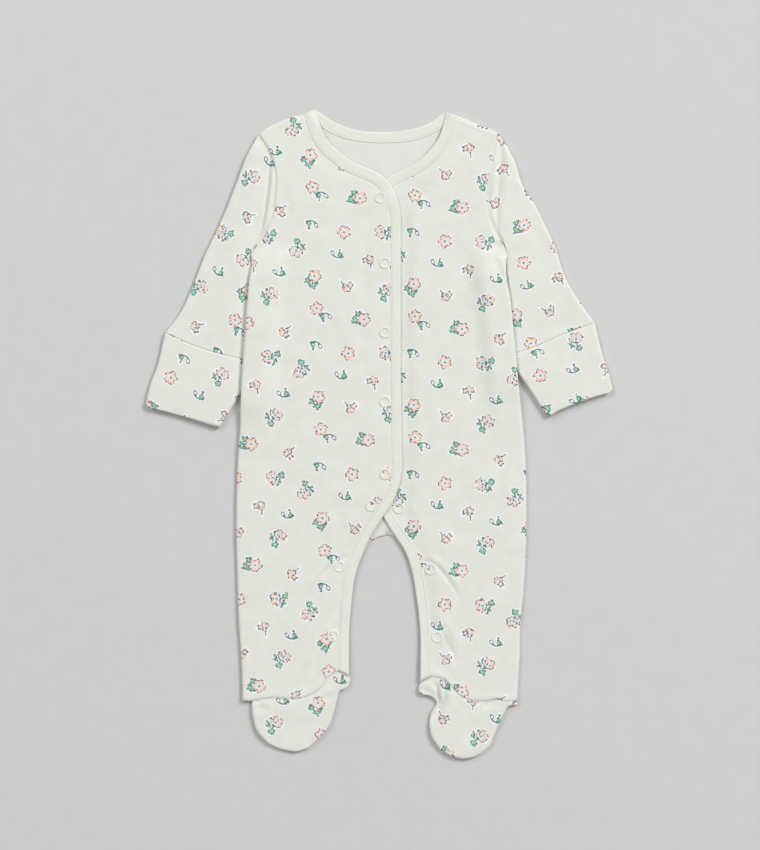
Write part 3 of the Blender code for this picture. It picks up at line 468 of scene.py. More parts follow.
def moved_aside(points, distance):
    """A line moved to the left of its own direction."""
    along = np.gradient(points, axis=0)
    along /= np.linalg.norm(along, axis=1)[:, None]
    return points + np.stack([-along[:, 1], along[:, 0]], axis=1) * np.reshape(distance, (-1, 1))


def ease(t):
    t = np.clip(t, 0, 1)
    return t * t * (3 - 2 * t)


def rounded(distance):
    """Rise of a soft edge, from 0 at the edge to 1 at EDGE_ROUND inside it."""
    inside = 1 - np.clip((distance + EDGE_BLUNT) / (EDGE_ROUND + EDGE_BLUNT), 0, 1)
    return np.where(distance > 0.001, np.sqrt(1 - inside * inside), 0.0)


def quarter_round(t):
    """Rise of a quarter circle, from 0 at 0 to 1 at 1."""
    return np.sqrt(np.clip(1 - (1 - np.clip(t, 0, 1)) ** 2, 0, 1))


def ridge(distance, at, width):
    """A soft ridge of height 1 that runs along an edge, at this distance from it."""
    return np.exp(-(((distance - at) / width) ** 2))


def slack(x, y):
    """The slight unevenness of cloth that lies loose."""
    height = np.zeros_like(x)
    for size, long, turn, start in (
        (0.13, 71.0, 0.4, 0.3), (0.11, 53.0, 1.7, 1.9), (0.09, 37.0, 2.6, 4.1), (0.07, 29.0, 1.1, 0.7),
        (0.05, 19.0, 2.1, 2.8), (0.04, 14.0, 0.1, 5.2),
    ):
        wave = 2 * np.pi / long
        across = 1.1 * np.sin(0.6 * wave * (y * np.cos(turn) - x * np.sin(turn)) + 2 * start)
        height += size * np.sin(wave * (x * np.cos(turn) + y * np.sin(turn)) + across + start)
    return height


def creases(x, y, lines):
    """Height that these creases add at each point. Each one fades towards its ends."""
    height = np.zeros_like(x)
    for width, size, line in lines:
        line = np.asarray(line)
        reach = 3 * width
        low, high = line.min(axis=0) - reach, line.max(axis=0) + reach
        near = (x > low[0]) & (x < high[0]) & (y > low[1]) & (y < high[1])
        if not near.any():
            continue
        px, py = x[near], y[near]
        steps = np.linalg.norm(np.diff(line, axis=0), axis=1)
        nearest = np.full(px.shape, np.inf)
        place = np.zeros_like(px)
        for start, end, step, before in zip(line[:-1], line[1:], steps, np.cumsum(steps) - steps):
            along = end - start
            f = np.clip(((px - start[0]) * along[0] + (py - start[1]) * along[1]) / (along @ along), 0, 1)
            off = np.hypot(px - start[0] - f * along[0], py - start[1] - f * along[1])
            place = np.where(off < nearest, (before + f * step) / steps.sum(), place)
            nearest = np.minimum(nearest, off)
        strength = ease(place / 0.18 + 0.35) * ease((1 - place) / 0.45 + 0.15)
        height[near] += size * strength * np.exp(-((nearest / width) ** 2))
    return height


# Distances of the close rows and columns from an edge.
EDGE_STEPS = np.array([0.0, 0.05, 0.35, 0.8, 1.3, 1.9, EDGE_ROUND, 3.6, 4.8])
OPEN_STEPS = np.array([0.0, 0.3, 0.6, 0.9, 1.3, 1.9, EDGE_ROUND, 3.6, 4.8])  # where it isn't rounded
SEAM_STEPS = np.array([-1.0, -0.2, 0.3, 0.7, 1.2, 1.9, 2.8, 4.0])  # where it goes in under a binding
END_ROWS = np.array([0.004, 0.02, 0.04, 0.07, 0.1, 0.13, 0.16, 0.19, 0.22, 0.26, 0.3, 0.36, 0.43])


def beside_snaps(x, y):
    """0 where a snap cap presses the cloth flat, 1 away from it."""
    nearest = np.min([np.hypot(x - snap_x, y - snap_y) for snap_x, snap_y in SNAPS], axis=0)
    return ease((nearest - SNAP_OUTER + 0.4) / 1.8)


def bend(line, u):
    """How far a smooth line stands off the straight one between its ends, at fractions of its length."""
    line = np.asarray(line, float)
    return spaced(line, u) - line[0] - (line[-1] - line[0]) * u[..., None]


LEAN_LEAST = 0.45  # where a row meets an edge aslant, its close columns spread no more than this allows


def fill(left, right, head, foot, steps_left, steps_right, middle, fade=3):
    """A grid between two edges, row by row, bent to follow the head and foot lines.

    steps_left and steps_right hold each row's distances of the columns near those edges. Each point
    is x, y, its distance from the left edge and its distance from the right one.
    """
    across = right - left
    width = np.linalg.norm(across, axis=1)[:, None]
    lean = []
    for edge in (left, right):
        along = np.gradient(edge, axis=0)
        turn = np.abs(across[:, :1] * along[:, 1:] - across[:, 1:] * along[:, :1])
        lean.append(np.maximum(turn / width / np.linalg.norm(along, axis=1)[:, None], LEAN_LEAST))
    first = steps_left / lean[0] / width
    last = 1 - steps_right[:, ::-1] / lean[1] / width
    between = np.linspace(0, 1, middle + 2)[1:-1]
    u = np.hstack([first, first[:, -1:] + (last[:, :1] - first[:, -1:]) * between, last])
    travel = np.cumsum(np.linalg.norm(np.diff(left + right, axis=0, prepend=(left + right)[:1]), axis=1))
    v = (travel / travel[-1])[:, None, None]
    points = left[:, None] + across[:, None] * u[..., None]
    points = points + bend(head, u) * (1 - v) ** fade + bend(foot, u) * v**3
    return np.dstack([points, u * width * lean[0], (1 - u) * width * lean[1]])


def close_rows(grid, distances):
    """The grid with more rows after its first one, at these distances down each column."""
    step = grid[1] - grid[0]
    reach = np.maximum(np.linalg.norm(step[:, :2], axis=1), 1.2 * distances[-1])[:, None]
    added = [grid[0] + step * distance / reach for distance in distances]
    return np.concatenate([grid[:1], added, grid[1:]])


EVEN_ROUNDS, EVEN_MIDDLE = 200, 120  # rounds in all, and those that move the whole middle
LEAST_CELL = 0.03  # a cell whose diagonals span less than this counts as crossed


def evened(grid):
    """The grid with its middle spaced evenly between its edges, and with no row crossing another."""
    grid, edge = grid.copy(), len(EDGE_STEPS)
    for number in range(EVEN_ROUNDS):
        around = 0.25 * (grid[:-2, 1:-1] + grid[2:, 1:-1] + grid[1:-1, :-2] + grid[1:-1, 2:])[..., :2]
        moved = np.zeros(around.shape[:2], bool)
        if number < EVEN_MIDDLE:
            moved[: 1 - edge, edge - 1 : 1 - edge] = True
        down, over = (grid[1:, 1:] - grid[:-1, :-1])[..., :2], (grid[1:, :-1] - grid[:-1, 1:])[..., :2]
        area = down[..., 0] * over[..., 1] - down[..., 1] * over[..., 0]
        crossed = area * np.sign(np.median(area)) < LEAST_CELL
        moved |= crossed[1:, 1:] | crossed[:-1, 1:] | crossed[1:, :-1] | crossed[:-1, :-1]
        grid[1:-1, 1:-1, :2][moved] = around[moved]
    return grid


def along_sleeve(rows):
    """The straight line that a sleeve's or cuff's outer edge follows: a place on it and its direction."""
    start, end = np.array(rows[0][:2]), np.array(rows[-1][:2])
    return start, (end - start) / np.linalg.norm(end - start)


def down_from_head(plan):
    """Distance of each point from the first row, along its column."""
    steps = np.linalg.norm(np.diff(plan[..., :2], axis=0, prepend=plan[:1, :, :2]), axis=2)
    return np.cumsum(steps, axis=0)


def up_from_foot(plan):
    return down_from_head(plan[::-1])[::-1]


# Meshes.


def on_cloth(plan, start, turn=0.0):
    """Place on the printed cloth, whose repeat is turned by this many degrees."""
    c, s = np.cos(np.radians(turn)), np.sin(np.radians(turn))
    return plan @ np.array([[c, -s], [s, c]]) + start


def mesh_grid(points, grain, closed=False):
    """A mesh through a grid of points, with its place on the flat cloth as UV map "cloth", in metres."""
    rows, columns = points.shape[:2]
    bm = bmesh.new()
    cloth = bm.loops.layers.uv.new("cloth")
    bmesh.ops.create_grid(bm, x_segments=columns - 1, y_segments=rows - 1, size=0.5)
    spots = {}
    for vert in bm.verts:
        column = round((vert.co.x + 0.5) * (columns - 1))
        row = round((vert.co.y + 0.5) * (rows - 1))
        spots[vert.index] = row, column
        vert.co = points[row, column] * MM
    for face in bm.faces:
        for corner in face.loops:
            corner[cloth].uv = grain[spots[corner.vert.index]] * MM
    if closed:
        bmesh.ops.remove_doubles(bm, verts=bm.verts, dist=1e-7)
    bm.normal_update()
    return bm


def placed(name, bm, finishes):
    """The piece that this mesh makes, with its finishes."""
    mesh = bpy.data.meshes.new(name)
    bm.to_mesh(mesh)
    bm.free()
    mesh.shade_smooth()
    for finish in finishes:
        mesh.materials.append(finish)
    piece = bpy.data.objects.new(name, mesh)
    bpy.context.scene.collection.objects.link(piece)
    return piece


def sewn(name, node, bm, finishes, wall, faces_up, area_of=None):
    """A cloth piece from an open mesh of its outer face, turned the right way and given its thickness."""
    upward = sum(face.normal.z * face.calc_area() for face in bm.faces if area_of is None or area_of(face))
    if (upward > 0) != faces_up:
        bmesh.ops.reverse_faces(bm, faces=bm.faces)
    piece = placed(name, bm, finishes)
    shell = piece.modifiers.new("wall", "SOLIDIFY")
    shell.thickness = wall * MM
    shell.offset = -1
    shell.material_offset = min(len(finishes) - 1, 1)
    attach(piece, "root")
    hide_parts(node)
    return piece


def row_numbers(count, per_row):
    """Row numbers of a panel: close ones at both ends and per_row to a table row between."""
    body = np.arange(1, (count - 1) * per_row) / per_row
    body = body[(body > 0.5) & (body < count - 1.3)]
    return np.concatenate([[0], END_ROWS, body, count - 1 - END_ROWS[::-1] * 0.7, [count - 1]])


def side_closed(numbers):
    """0 beside the armhole and 1 from the underarm down, where front and back meet at the side seam."""
    return ease(2 * (numbers - UNDERARM) + 1)[:, None]


def side_steps(numbers):
    closed = side_closed(numbers)
    return OPEN_STEPS * (1 - closed) + EDGE_STEPS * closed


def lifted(lift, from_side):
    return lift * (1 - ease((from_side - LIFT_FLAT) / LIFT_FADE))


def front(name, node, side, edge, shoulder, ankle, finish, start, turn=0.0):
    numbers = row_numbers(len(side), 9)
    s, e = smooth(side, numbers), smooth(edge, numbers)
    s[:, 2] = np.maximum(s[:, 2], 0)
    steps = np.tile(SEAM_STEPS, (len(numbers), 1))
    plan = fill(s[:, :2], e[:, :2], shoulder, ankle, side_steps(numbers), steps, 52, 6)
    x, y, from_side, from_edge = np.moveaxis(plan, 2, 0)
    lift, edge_top, flat = s[:, 2:3], e[:, 2:3], e[:, 3:4]
    closed = side_closed(numbers)
    near_side = (1 - ease(from_side / LIFT_FLAT)) * closed
    top = LOFT + (2 * SEAM_HEIGHT - LOFT) * near_side + lifted(lift, from_side)
    from_lap = np.minimum(from_side + 100 * closed, up_from_foot(plan))
    near_lap = 1 - ease((from_lap - LAP_FLAT) / LAP_FADE)
    top = top + (LAP_TOP - top) * near_lap
    near_edge = 1 - ease((from_edge - flat) / EDGE_FADE)
    folds = (creases(x, y, BODY_CREASES) + slack(x, y)) * (1 - near_lap) * beside_snaps(x, y)
    top = top + (edge_top - top) * near_edge + folds
    top = top - LAP_DROP * (1 - ease(from_lap / LAP_TURN))
    top = top - EDGE_DIP * (1 - ease((from_edge + EDGE_DIP) / EDGE_DIP_WIDE))
    down = down_from_head(plan)
    for size, at, wide in SHOULDER_LINES:
        top = top + size * ridge(down, at, wide)
    split = SEAM_HEIGHT + lift + SEAM_HALF
    rise = np.minimum(1 - closed * (1 - rounded(from_side)), rounded(down))
    points = np.dstack([x, y, split + (top - split) * rise])
    bm = mesh_grid(points, on_cloth(plan[..., :2], start, turn))
    return sewn(name, node, bm, [finish], JERSEY_WALL, True)


def back_half(side, inner, shoulder, neck, ankle):
    """Points of half of the back, from its side edge to the middle and then the inner leg."""
    numbers = row_numbers(len(side), 4)
    crotch = len(BACK_MIDDLE) - 1
    s = smooth(side, numbers)
    s[:, 2] = np.maximum(s[:, 2], 0)
    upper, lower = numbers[numbers <= crotch], numbers[numbers > crotch]
    middle = np.vstack([smooth(BACK_MIDDLE, upper), smooth(inner, lower - crotch)])
    ends = len(OPEN_STEPS)
    columns = len(neck) + ends + 6
    turn = columns - len(neck)  # the column at the neck's corner, between the shoulder and the neck seam
    gap = np.zeros((len(numbers), 1))
    chord = np.linspace(s[0, :2], middle[0], columns)
    grid = fill(s[:, :2], middle, chord, ankle, side_steps(numbers), gap, columns - ends - 1)
    plan, from_side = grid[..., :2], grid[..., 2]
    # The first row follows the shoulder and the neck, and the rows settle from it down to the underarm.
    head = np.vstack([spaced(shoulder, np.linspace(0, 1, turn + 1)), neck[1:]])
    head[1:ends] = spaced(shoulder, OPEN_STEPS[1:] / np.hypot(*np.subtract(shoulder[0], shoulder[-1])))
    head[ends:turn] = spaced(shoulder, np.linspace(0.17, 1, turn - ends + 1)[:-1])
    plan = plan + (head - plan[0]) * (1 - np.minimum(numbers / UNDERARM, 1))[:, None, None] ** 1.5
    split = SEAM_HEIGHT + s[:, 2:3] - SEAM_HALF
    rise = np.minimum(1 - side_closed(numbers) * (1 - rounded(from_side)), rounded(down_from_head(plan)))
    rise[:, turn + 1 :] = 1  # the neck edge lies flat beside its binding
    return np.dstack([plan, split * (1 - rise) + lifted(s[:, 2:3], from_side) * rise])


def back_panel(finishes):
    """The back: two halves that share the middle line down to the crotch."""
    neck = neck_rows()[:, :2]
    half = len(neck) // 2
    right_ankle = (*RIGHT_ANKLE, RIGHT_INNER_LEG[-1])
    left_ankle = (*LEFT_ANKLE, LEFT_INNER_LEG[-1])
    right = back_half(RIGHT_SIDE, RIGHT_INNER_LEG, RIGHT_SHOULDER, neck[: half + 1], right_ankle)
    left = back_half(LEFT_SIDE, LEFT_INNER_LEG, LEFT_SHOULDER, neck[: half - 1 : -1], left_ankle)
    shared = row_numbers(len(RIGHT_SIDE), 4) <= len(BACK_MIDDLE) - 1
    left[shared, -1] = right[shared, -1]
    bm = mesh_grid(right, on_cloth(right[..., :2], BACK_PRINT))
    other = mesh_grid(left, on_cloth(left[..., :2], BACK_PRINT))
    if sum(face.normal.z for face in other.faces) * sum(face.normal.z for face in bm.faces) < 0:
        bmesh.ops.reverse_faces(other, faces=other.faces)
    spare = bpy.data.meshes.new("left_half")
    other.to_mesh(spare)
    other.free()
    bm.from_mesh(spare)
    bpy.data.meshes.remove(spare)
    bmesh.ops.remove_doubles(bm, verts=bm.verts, dist=1e-7)
    for face in bm.faces:
        face.material_index = 2 if face.calc_center_median().y < CROTCH_PATCH_TOP * MM else 0
    return sewn("back_panel", "back", bm, finishes, JERSEY_WALL, False)


def binding(name, node, edge, way, head, foot, finish):
    """A binding along a front edge: a soft folded strip, sewn down over the panel at its inner edge."""
    e = smooth(edge, np.linspace(0, len(edge) - 1, 12 * (len(edge) - 1) + 1))
    seam = e[:, :2]
    free = moved_aside(seam, way * e[:, 4])
    share = np.linspace(0, 1, len(e))[:, None]
    near_head, near_foot = 1 - ease(share / BINDING_END), 1 - ease((1 - share) / BINDING_END)
    free = free + (np.array(head) - free[0]) * near_head + (np.array(foot) - free[-1]) * near_foot
    # At the neck's highest point it folds down softly onto the back's binding.
    fold = 1 - ease((np.linspace(0, len(edge) - 1, len(e)) / FOLD_ROWS)[:, None])
    return strip(name, node, seam, free, e[:, 2] + BINDING_RISE, 0.15, finish, fold)


def strip(name, node, seam, free, height, stretch, finish, fold=None):
    """A folded strip between its seam and its free edge, with its seam, free edge and height."""
    width = np.linalg.norm(free - seam, axis=1)[:, None]
    across = binding_steps(width)
    plan = seam[:, None] + (free - seam)[:, None] * (across / width)[..., None]
    top = height[:, None] + binding_form(across, width)
    if fold is not None:
        top = top + 0.5 * slack(plan[..., 0], plan[..., 1])
        top = top - FOLD_DROP * fold * (1 - ease((width - across) / FOLD_WIDE))
    grain = np.dstack([across, np.cumsum(width, axis=0) * stretch + 0 * across])
    bm = mesh_grid(np.dstack([plan, top]), grain)
    return sewn(name, node, bm, [finish], BINDING_WALL, True), seam, free, height


def binding_steps(width):
    """Distances across a binding, close together at its seam and at its free edge."""
    near = np.array([-0.1, 0.0, 0.15, 0.4, 0.8, 1.2, 1.6, 2.1, 2.7])
    far = np.array([2.4, 1.6, 1.0, 0.55, 0.25, 0.08, 0.0])
    middle = near[-1] + (width - (near[-1] + far[0])) * np.array([0.25, 0.5, 0.75])
    return np.hstack([np.tile(near, (len(width), 1)), middle, width - far])


def binding_form(across, width):
    """Height of a binding across its width: rolled at seam and edge, dented by its stitches."""
    roll = quarter_round((across + 0.1) / ROLL_WIDE) - 1
    rim = quarter_round((width - across + 0.02) / RIM_WIDE) - 1
    dent = 0.1 * ridge(across, 0.75, 0.35) - STITCH_DENT * ridge(across, STITCH_IN, 0.5)
    return ROLL_DROP * roll + RIM_DROP * rim + dent


def neck_rows():
    """Points of the back neck's seam and of its binding's free edge, opposite each other."""
    middle = len(BACK_NECK) // 2
    fractions = np.linspace(0, 1, 26)
    halves = []
    for half in (BACK_NECK[: middle + 1], BACK_NECK[middle:]):
        half = np.array(half)
        halves.append(np.hstack([spaced(half[:, :2], fractions), spaced(half[:, 2:], fractions)]))
    return np.vstack([halves[0], halves[1][1:]])


def neck_binding(finish):
    rows = neck_rows()
    height = np.full(len(rows), NECK_TOP)
    return strip("neck_binding", "neck_band", rows[:, :2], rows[:, 2:], height, 0.3, finish)


def armhole(side, rows, way):
    """The sleeve's end: beside the body at the shoulder and near the underarm, and set in between."""
    numbers = np.linspace(0.5, UNDERARM - 1, 2 * UNDERARM - 2)
    line = smooth([row[:2] for row in side], numbers)
    reach = np.full(len(line), SET_IN)  # less near the shoulder and the underarm
    reach[[0, 1, -3, -2, -1]] = 0.8, 2.0, 1.5, 0.9, 0.5
    line = moved_aside(line, -way * reach)
    return np.vstack([rows[0][:2], line, rows[0][2:4]])


def beside_body(x, y, side, settle):
    """1 where a sleeve lies under the body, fading to 0 over this much of it beside the body."""
    line = np.array(side)[::-1]
    beyond = np.sign(line[0, 0]) * (x - np.interp(y, line[:, 1], line[:, 0]))
    return (1 - ease(beyond / settle)) * (1 - ease((y - UNDER_UP_TO) / UNDER_FADE))


def tube(name, node, rows, side, settle, head, foot, numbers, wall, finish, start, turn=0.0, fade=3):
    """A sleeve or cuff: rings round a flat tube, each from its outer edge over the top and back below.

    With a steep fade it is a sleeve, set in at its head.
    """
    r = smooth(rows, numbers)
    steps = np.tile(EDGE_STEPS, (len(numbers), 1))
    grid = fill(r[:, :2], r[:, 2:4], head, foot, steps, steps, 34, fade)
    heights = np.tile(r[:, None, 4:], (1, grid.shape[1], 1))
    grid = np.dstack([grid, heights])
    set_in = fade > 3
    if set_in:
        grid = close_rows(grid, SET_ROWS)
    x, y, from_outer, from_inner, high, under = np.moveaxis(grid, 2, 0)
    hidden = beside_body(x, y, side, settle)
    folds = creases(x, y, SLEEVE_CREASES)
    top = high * (1 - hidden) + under * hidden + (np.maximum(folds, 0) + slack(x, y)) * (1 - hidden)
    near_head = 1 - ease((down_from_head(grid) - SET_ROWS[0]) / (SET_ROWS[-1] - SET_ROWS[0]))
    near_head = near_head * set_in
    low = SET_LOW * near_head
    top = np.maximum(top + (SET_TOP - top) * near_head + np.minimum(folds, 0), low + 2 * wall)
    # The seam between sleeve and cuff is a groove, half as deep below as above.
    from_seam = up_from_foot(grid) if set_in else down_from_head(grid)
    groove = GROOVE_DEEP * (1 - ease(from_seam / GROOVE_WIDE))
    top, low = top - groove, low + 0.5 * groove
    rise = rounded(np.minimum(from_outer, from_inner))
    middle, half = (top + low) / 2, (top - low) / 2
    upper = np.dstack([x, y, middle + half * rise])
    lower = np.dstack([x, y, middle - half * rise])[:, -2:0:-1]
    # The cloth's own grain runs along the tube, and goes on round its outer edge.
    first, along = along_sleeve(rows)
    laid = grid[..., :2] - first
    far, out = laid @ along, laid @ (-along[1], along[0])
    over, below = np.dstack([out, -far]), np.dstack([-out, -far])
    points = np.concatenate([upper, lower, upper[:, :1]], axis=1)
    grain = np.concatenate([over, below[:, -2:0:-1], below[:, :1]], axis=1)
    bm = mesh_grid(points, on_cloth(grain, start, turn), closed=True)
    half_up = 0.5 * points[..., 2].max() * MM
    return sewn(name, node, bm, [finish], wall, True, lambda face: face.calc_center_median().z > half_up)


def foot_piece(name, node, ankle, outer, inner, toe, faces_up, finish, start, turn):
    """A foot's upper or sole, from where it is set in at the ankle to its outline."""
    outer_rows = np.concatenate([np.linspace(0, 0.94, 36), [0.955, 0.97, 0.98, 0.988, 0.994, 0.999, 1]])
    seam = np.array([outer[0], *[(x, y + SET_IN) for x, y in ankle[2:-1]], inner[0]])
    steps = np.tile(EDGE_STEPS, (len(outer_rows), 1))
    left, right = spaced(outer, outer_rows), spaced(inner, outer_rows)
    grid = evened(fill(left, right, seam, toe, steps, steps, 44, 3))
    x, y, from_outer, from_inner = np.moveaxis(grid, 2, 0)
    rise = rounded(np.minimum(np.minimum(from_outer, from_inner), up_from_foot(grid)))
    near_head = 1 - ease((down_from_head(grid) - SET_ROWS[0]) / (SET_ROWS[-1] - SET_ROWS[0]))
    split = (SET_TOP + SET_LOW) / 2
    if faces_up:
        split += SEAM_HALF
        z = LOFT - 0.3 + slack(x, y)
        folds = creases(x, y, FOOT_CREASES) * ease(down_from_head(grid) / SET_ROWS[0])
        z = z + (SET_TOP - z) * near_head + folds
    else:
        split -= SEAM_HALF
        z = SET_LOW * near_head
    bm = mesh_grid(np.dstack([x, y, split + (z - split) * rise]), on_cloth(grid[..., :2], start, turn))
    return sewn(name, node, bm, [finish], JERSEY_WALL, faces_up)


def tree_of(pieces):
    """The shown surfaces of these pieces, to set snaps on."""
    corners, faces = [], []
    for piece in pieces:
        start = len(corners)
        corners += [vert.co for vert in piece.data.vertices]
        faces += [[start + number for number in face.vertices] for face in piece.data.polygons]
    return BVHTree.FromPolygons(corners, faces)


def height_at(tree, x, y):
    hit = tree.ray_cast((x * MM, y * MM, 1), (0, 0, -1))[0]
    return None if hit is None else hit.z / MM


def snaps(tree, finish):
    """Snap caps: flat open rings with soft rims, turned about Z, then laid on the slope of the cloth."""
    turns = np.linspace(0, 2 * np.pi, 24, endpoint=False)
    around = [SNAP_OUTER * np.cos(turns), SNAP_OUTER * np.sin(turns), np.ones(len(turns))]
    around = np.stack(around, axis=1)
    corner = ((0, -SNAP_SUNK), (0, SNAP_TALL - SNAP_RIM), (0.1, SNAP_TALL - 0.1), (SNAP_RIM, SNAP_TALL))
    profile = [(SNAP_INNER + inward, z) for inward, z in corner]
    profile += [(SNAP_OUTER - inward, z) for inward, z in corner[::-1]]
    for number, (x, y) in enumerate(SNAPS, 1):
        tops = [height_at(tree, x + spot[0], y + spot[1]) for spot in around]
        held = [spot for spot, top in enumerate(tops) if top is not None]
        heights = np.array([tops[spot] for spot in held])
        lean_x, lean_y, base = np.linalg.lstsq(around[held], heights, rcond=None)[0]
        bm = bmesh.new()
        ring = [bm.verts.new((radius * MM, 0, z * MM)) for radius, z in profile]
        loop = [bm.edges.new((ring[n - 1], ring[n])) for n in range(len(ring))]
        turn = {"axis": (0, 0, 1), "cent": (0, 0, 0), "angle": 2 * np.pi}
        bmesh.ops.spin(bm, geom=ring + loop, steps=48, use_merge=True, **turn)
        bmesh.ops.recalc_face_normals(bm, faces=bm.faces)
        for vert in bm.verts:
            vert.co.z += lean_x * vert.co.x + lean_y * vert.co.y
        bmesh.ops.translate(bm, verts=bm.verts, vec=(x * MM, y * MM, base * MM))
        cap = placed(f"snap_cap_{number:02d}", bm, [finish])
        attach(cap, "root")
        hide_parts(f"snap_{number:02d}")


STITCH_EVERY, STITCH_LONG, STITCH_WIDE, STITCH_TALL = 1.7, 1.1, 0.45, 0.32
STITCH_SUNK, STITCH_LEAN, STITCH_ENDS = 0.1, 0.35, 2.0  # into the cloth, to either side, bare at each end


def stitches(name, seam, free, top, finish):
    """A row of stitches along a binding, a little way in from its seam."""
    toward = free - seam
    toward /= np.linalg.norm(toward, axis=1)[:, None]
    line = np.column_stack([seam + toward * STITCH_IN, top])
    travel = np.concatenate([[0], np.cumsum(np.linalg.norm(np.diff(line[:, :2], axis=0), axis=1))])
    places = np.arange(STITCH_ENDS, travel[-1] - STITCH_ENDS, STITCH_EVERY)
    spots = np.stack([np.interp(places, travel, line[:, k]) for k in range(3)], axis=1)
    ahead = np.stack([np.interp(places + 0.5, travel, line[:, k]) for k in range(3)], axis=1)
    bm = bmesh.new()
    for number, (spot, to) in enumerate(zip(spots, ahead)):
        turn = np.arctan2(to[1] - spot[1], to[0] - spot[0]) + (STITCH_LEAN if number % 2 else -STITCH_LEAN)
        place = Matrix.Translation((*(spot[:2] * MM), (spot[2] - STITCH_SUNK) * MM))
        size = Matrix.Diagonal((STITCH_LONG / 2 * MM, STITCH_WIDE / 2 * MM, STITCH_TALL / 2 * MM, 1))
        laid = place @ Matrix.Rotation(turn, 4, "Z") @ size
        bmesh.ops.create_icosphere(bm, subdivisions=1, radius=1, matrix=laid)
    row = placed(name, bm, [finish])
    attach(row, "root")


# Finishes.


class Run:
    """A number, vector or colour that runs through a finish's nodes."""

    def __init__(self, finish, socket):
        self.finish, self.socket = finish, socket

    def math(self, operation, *others):
        values = {n: value for n, value in enumerate((self, *others))}
        return self.finish.add("ShaderNodeMath", {"operation": operation}, values)[0]

    def __add__(self, other):
        return self.math("ADD", other)

    __radd__ = __add__

    def __sub__(self, other):
        return self.math("SUBTRACT", other)

    def __rsub__(self, other):
        return self.finish.add("ShaderNodeMath", {"operation": "SUBTRACT"}, {0: other, 1: self})[0]

    def __mul__(self, other):
        return self.math("MULTIPLY", other)

    def __gt__(self, other):
        return self.math("GREATER_THAN", other)

    def __lt__(self, other):
        return self.math("LESS_THAN", other)

    def least(self, other):
        return self.math("MINIMUM", other)

    def clear_of(self, start, end):
        """0 up to start and 1 from end on."""
        sockets = {"Value": self, "From Min": start, "From Max": end}
        return self.finish.add("ShaderNodeMapRange", {"interpolation_type": "SMOOTHSTEP"}, sockets)[0]

    def up_to(self, start, end):
        """1 up to start and 0 from end on."""
        return 1 - self.clear_of(start, end)

    def vector(self, operation, *others):
        values = {n: value for n, value in enumerate((self, *others))}
        return self.finish.add("ShaderNodeVectorMath", {"operation": operation}, values)


class Finish:
    """A material, built node by node."""

    def __init__(self, name):
        self.material = bpy.data.materials.new(name)
        self.material.use_nodes = True
        self.nodes = self.material.node_tree.nodes
        self.links = self.material.node_tree.links
        self.shader = self.nodes["Principled BSDF"]

    def set(self, sockets, values):
        for key, value in values.items():
            if isinstance(value, Run):
                self.links.new(value.socket, sockets[key])
            else:
                sockets[key].default_value = value

    def add(self, kind, settings=None, values=None):
        """A node of any kind: its settings first, then its sockets. Gives what it puts out."""
        node = self.nodes.new(kind)
        for key, value in (settings or {}).items():
            setattr(node, key, value)
        self.set(node.inputs, values or {})
        return [Run(self, socket) for socket in node.outputs if socket.enabled]

    def cloth_place(self):
        """Place on the flat cloth, in millimetres."""
        place = self.add("ShaderNodeUVMap", {"uv_map": "cloth"})[0]
        return place.vector("SCALE", (0, 0, 0), (0, 0, 0), 1 / MM)[0]

    def blend(self, factor, first, second, kind="RGBA"):
        """first where factor is 0 and second where it is 1."""
        spots = {"FLOAT": (2, 3), "VECTOR": (4, 5), "RGBA": (6, 7)}[kind]
        values = {0: factor, spots[0]: first, spots[1]: second}
        return self.add("ShaderNodeMix", {"data_type": kind, "clamp_factor": True}, values)[0]

    def noise(self, place, scale, detail=2.0, roughness=0.5):
        values = {"Vector": place, "Scale": scale, "Detail": detail, "Roughness": roughness}
        return self.add("ShaderNodeTexNoise", {"noise_dimensions": "2D"}, values)[0]

    def oval(self, place, x, y, long, wide, turn=0.0):
        """Distance from an oval's middle, 1 on its outline."""
        values = {"Location": (x, y, 0), "Rotation": (0, 0, np.radians(turn)), "Scale": (long, wide, 1)}
        held = self.add("ShaderNodeMapping", {"vector_type": "TEXTURE"}, {"Vector": place, **values})[0]
        return held.vector("LENGTH")[0]

    def near(self, place, ovals):
        """Distance from the nearest oval, less than 0 inside it, and from the nearest outline."""
        nearest = line = None
        for x, y, long, wide, turn in ovals:
            away = (self.oval(place, x, y, long, wide, turn) - 1) * min(long, wide)
            rim = away.math("ABSOLUTE")
            nearest, line = (away, rim) if nearest is None else (nearest.least(away), line.least(rim))
        return nearest, line

    def grain(self, scale, detail):
        """Fine unevenness in the round, for what isn't cut from the cloth."""
        values = {"Vector": self.add("ShaderNodeTexCoord")[3], "Scale": scale, "Detail": detail}
        return self.add("ShaderNodeTexNoise", {}, values)[0]

    def done(self, values):
        self.set(self.shader.inputs, values)
        return self.material

    def split(self, vector):
        return self.add("ShaderNodeSeparateXYZ", {}, {0: vector})

    def join(self, x, y, z=0.0):
        return self.add("ShaderNodeCombineXYZ", {}, {0: x, 1: y, 2: z})[0]


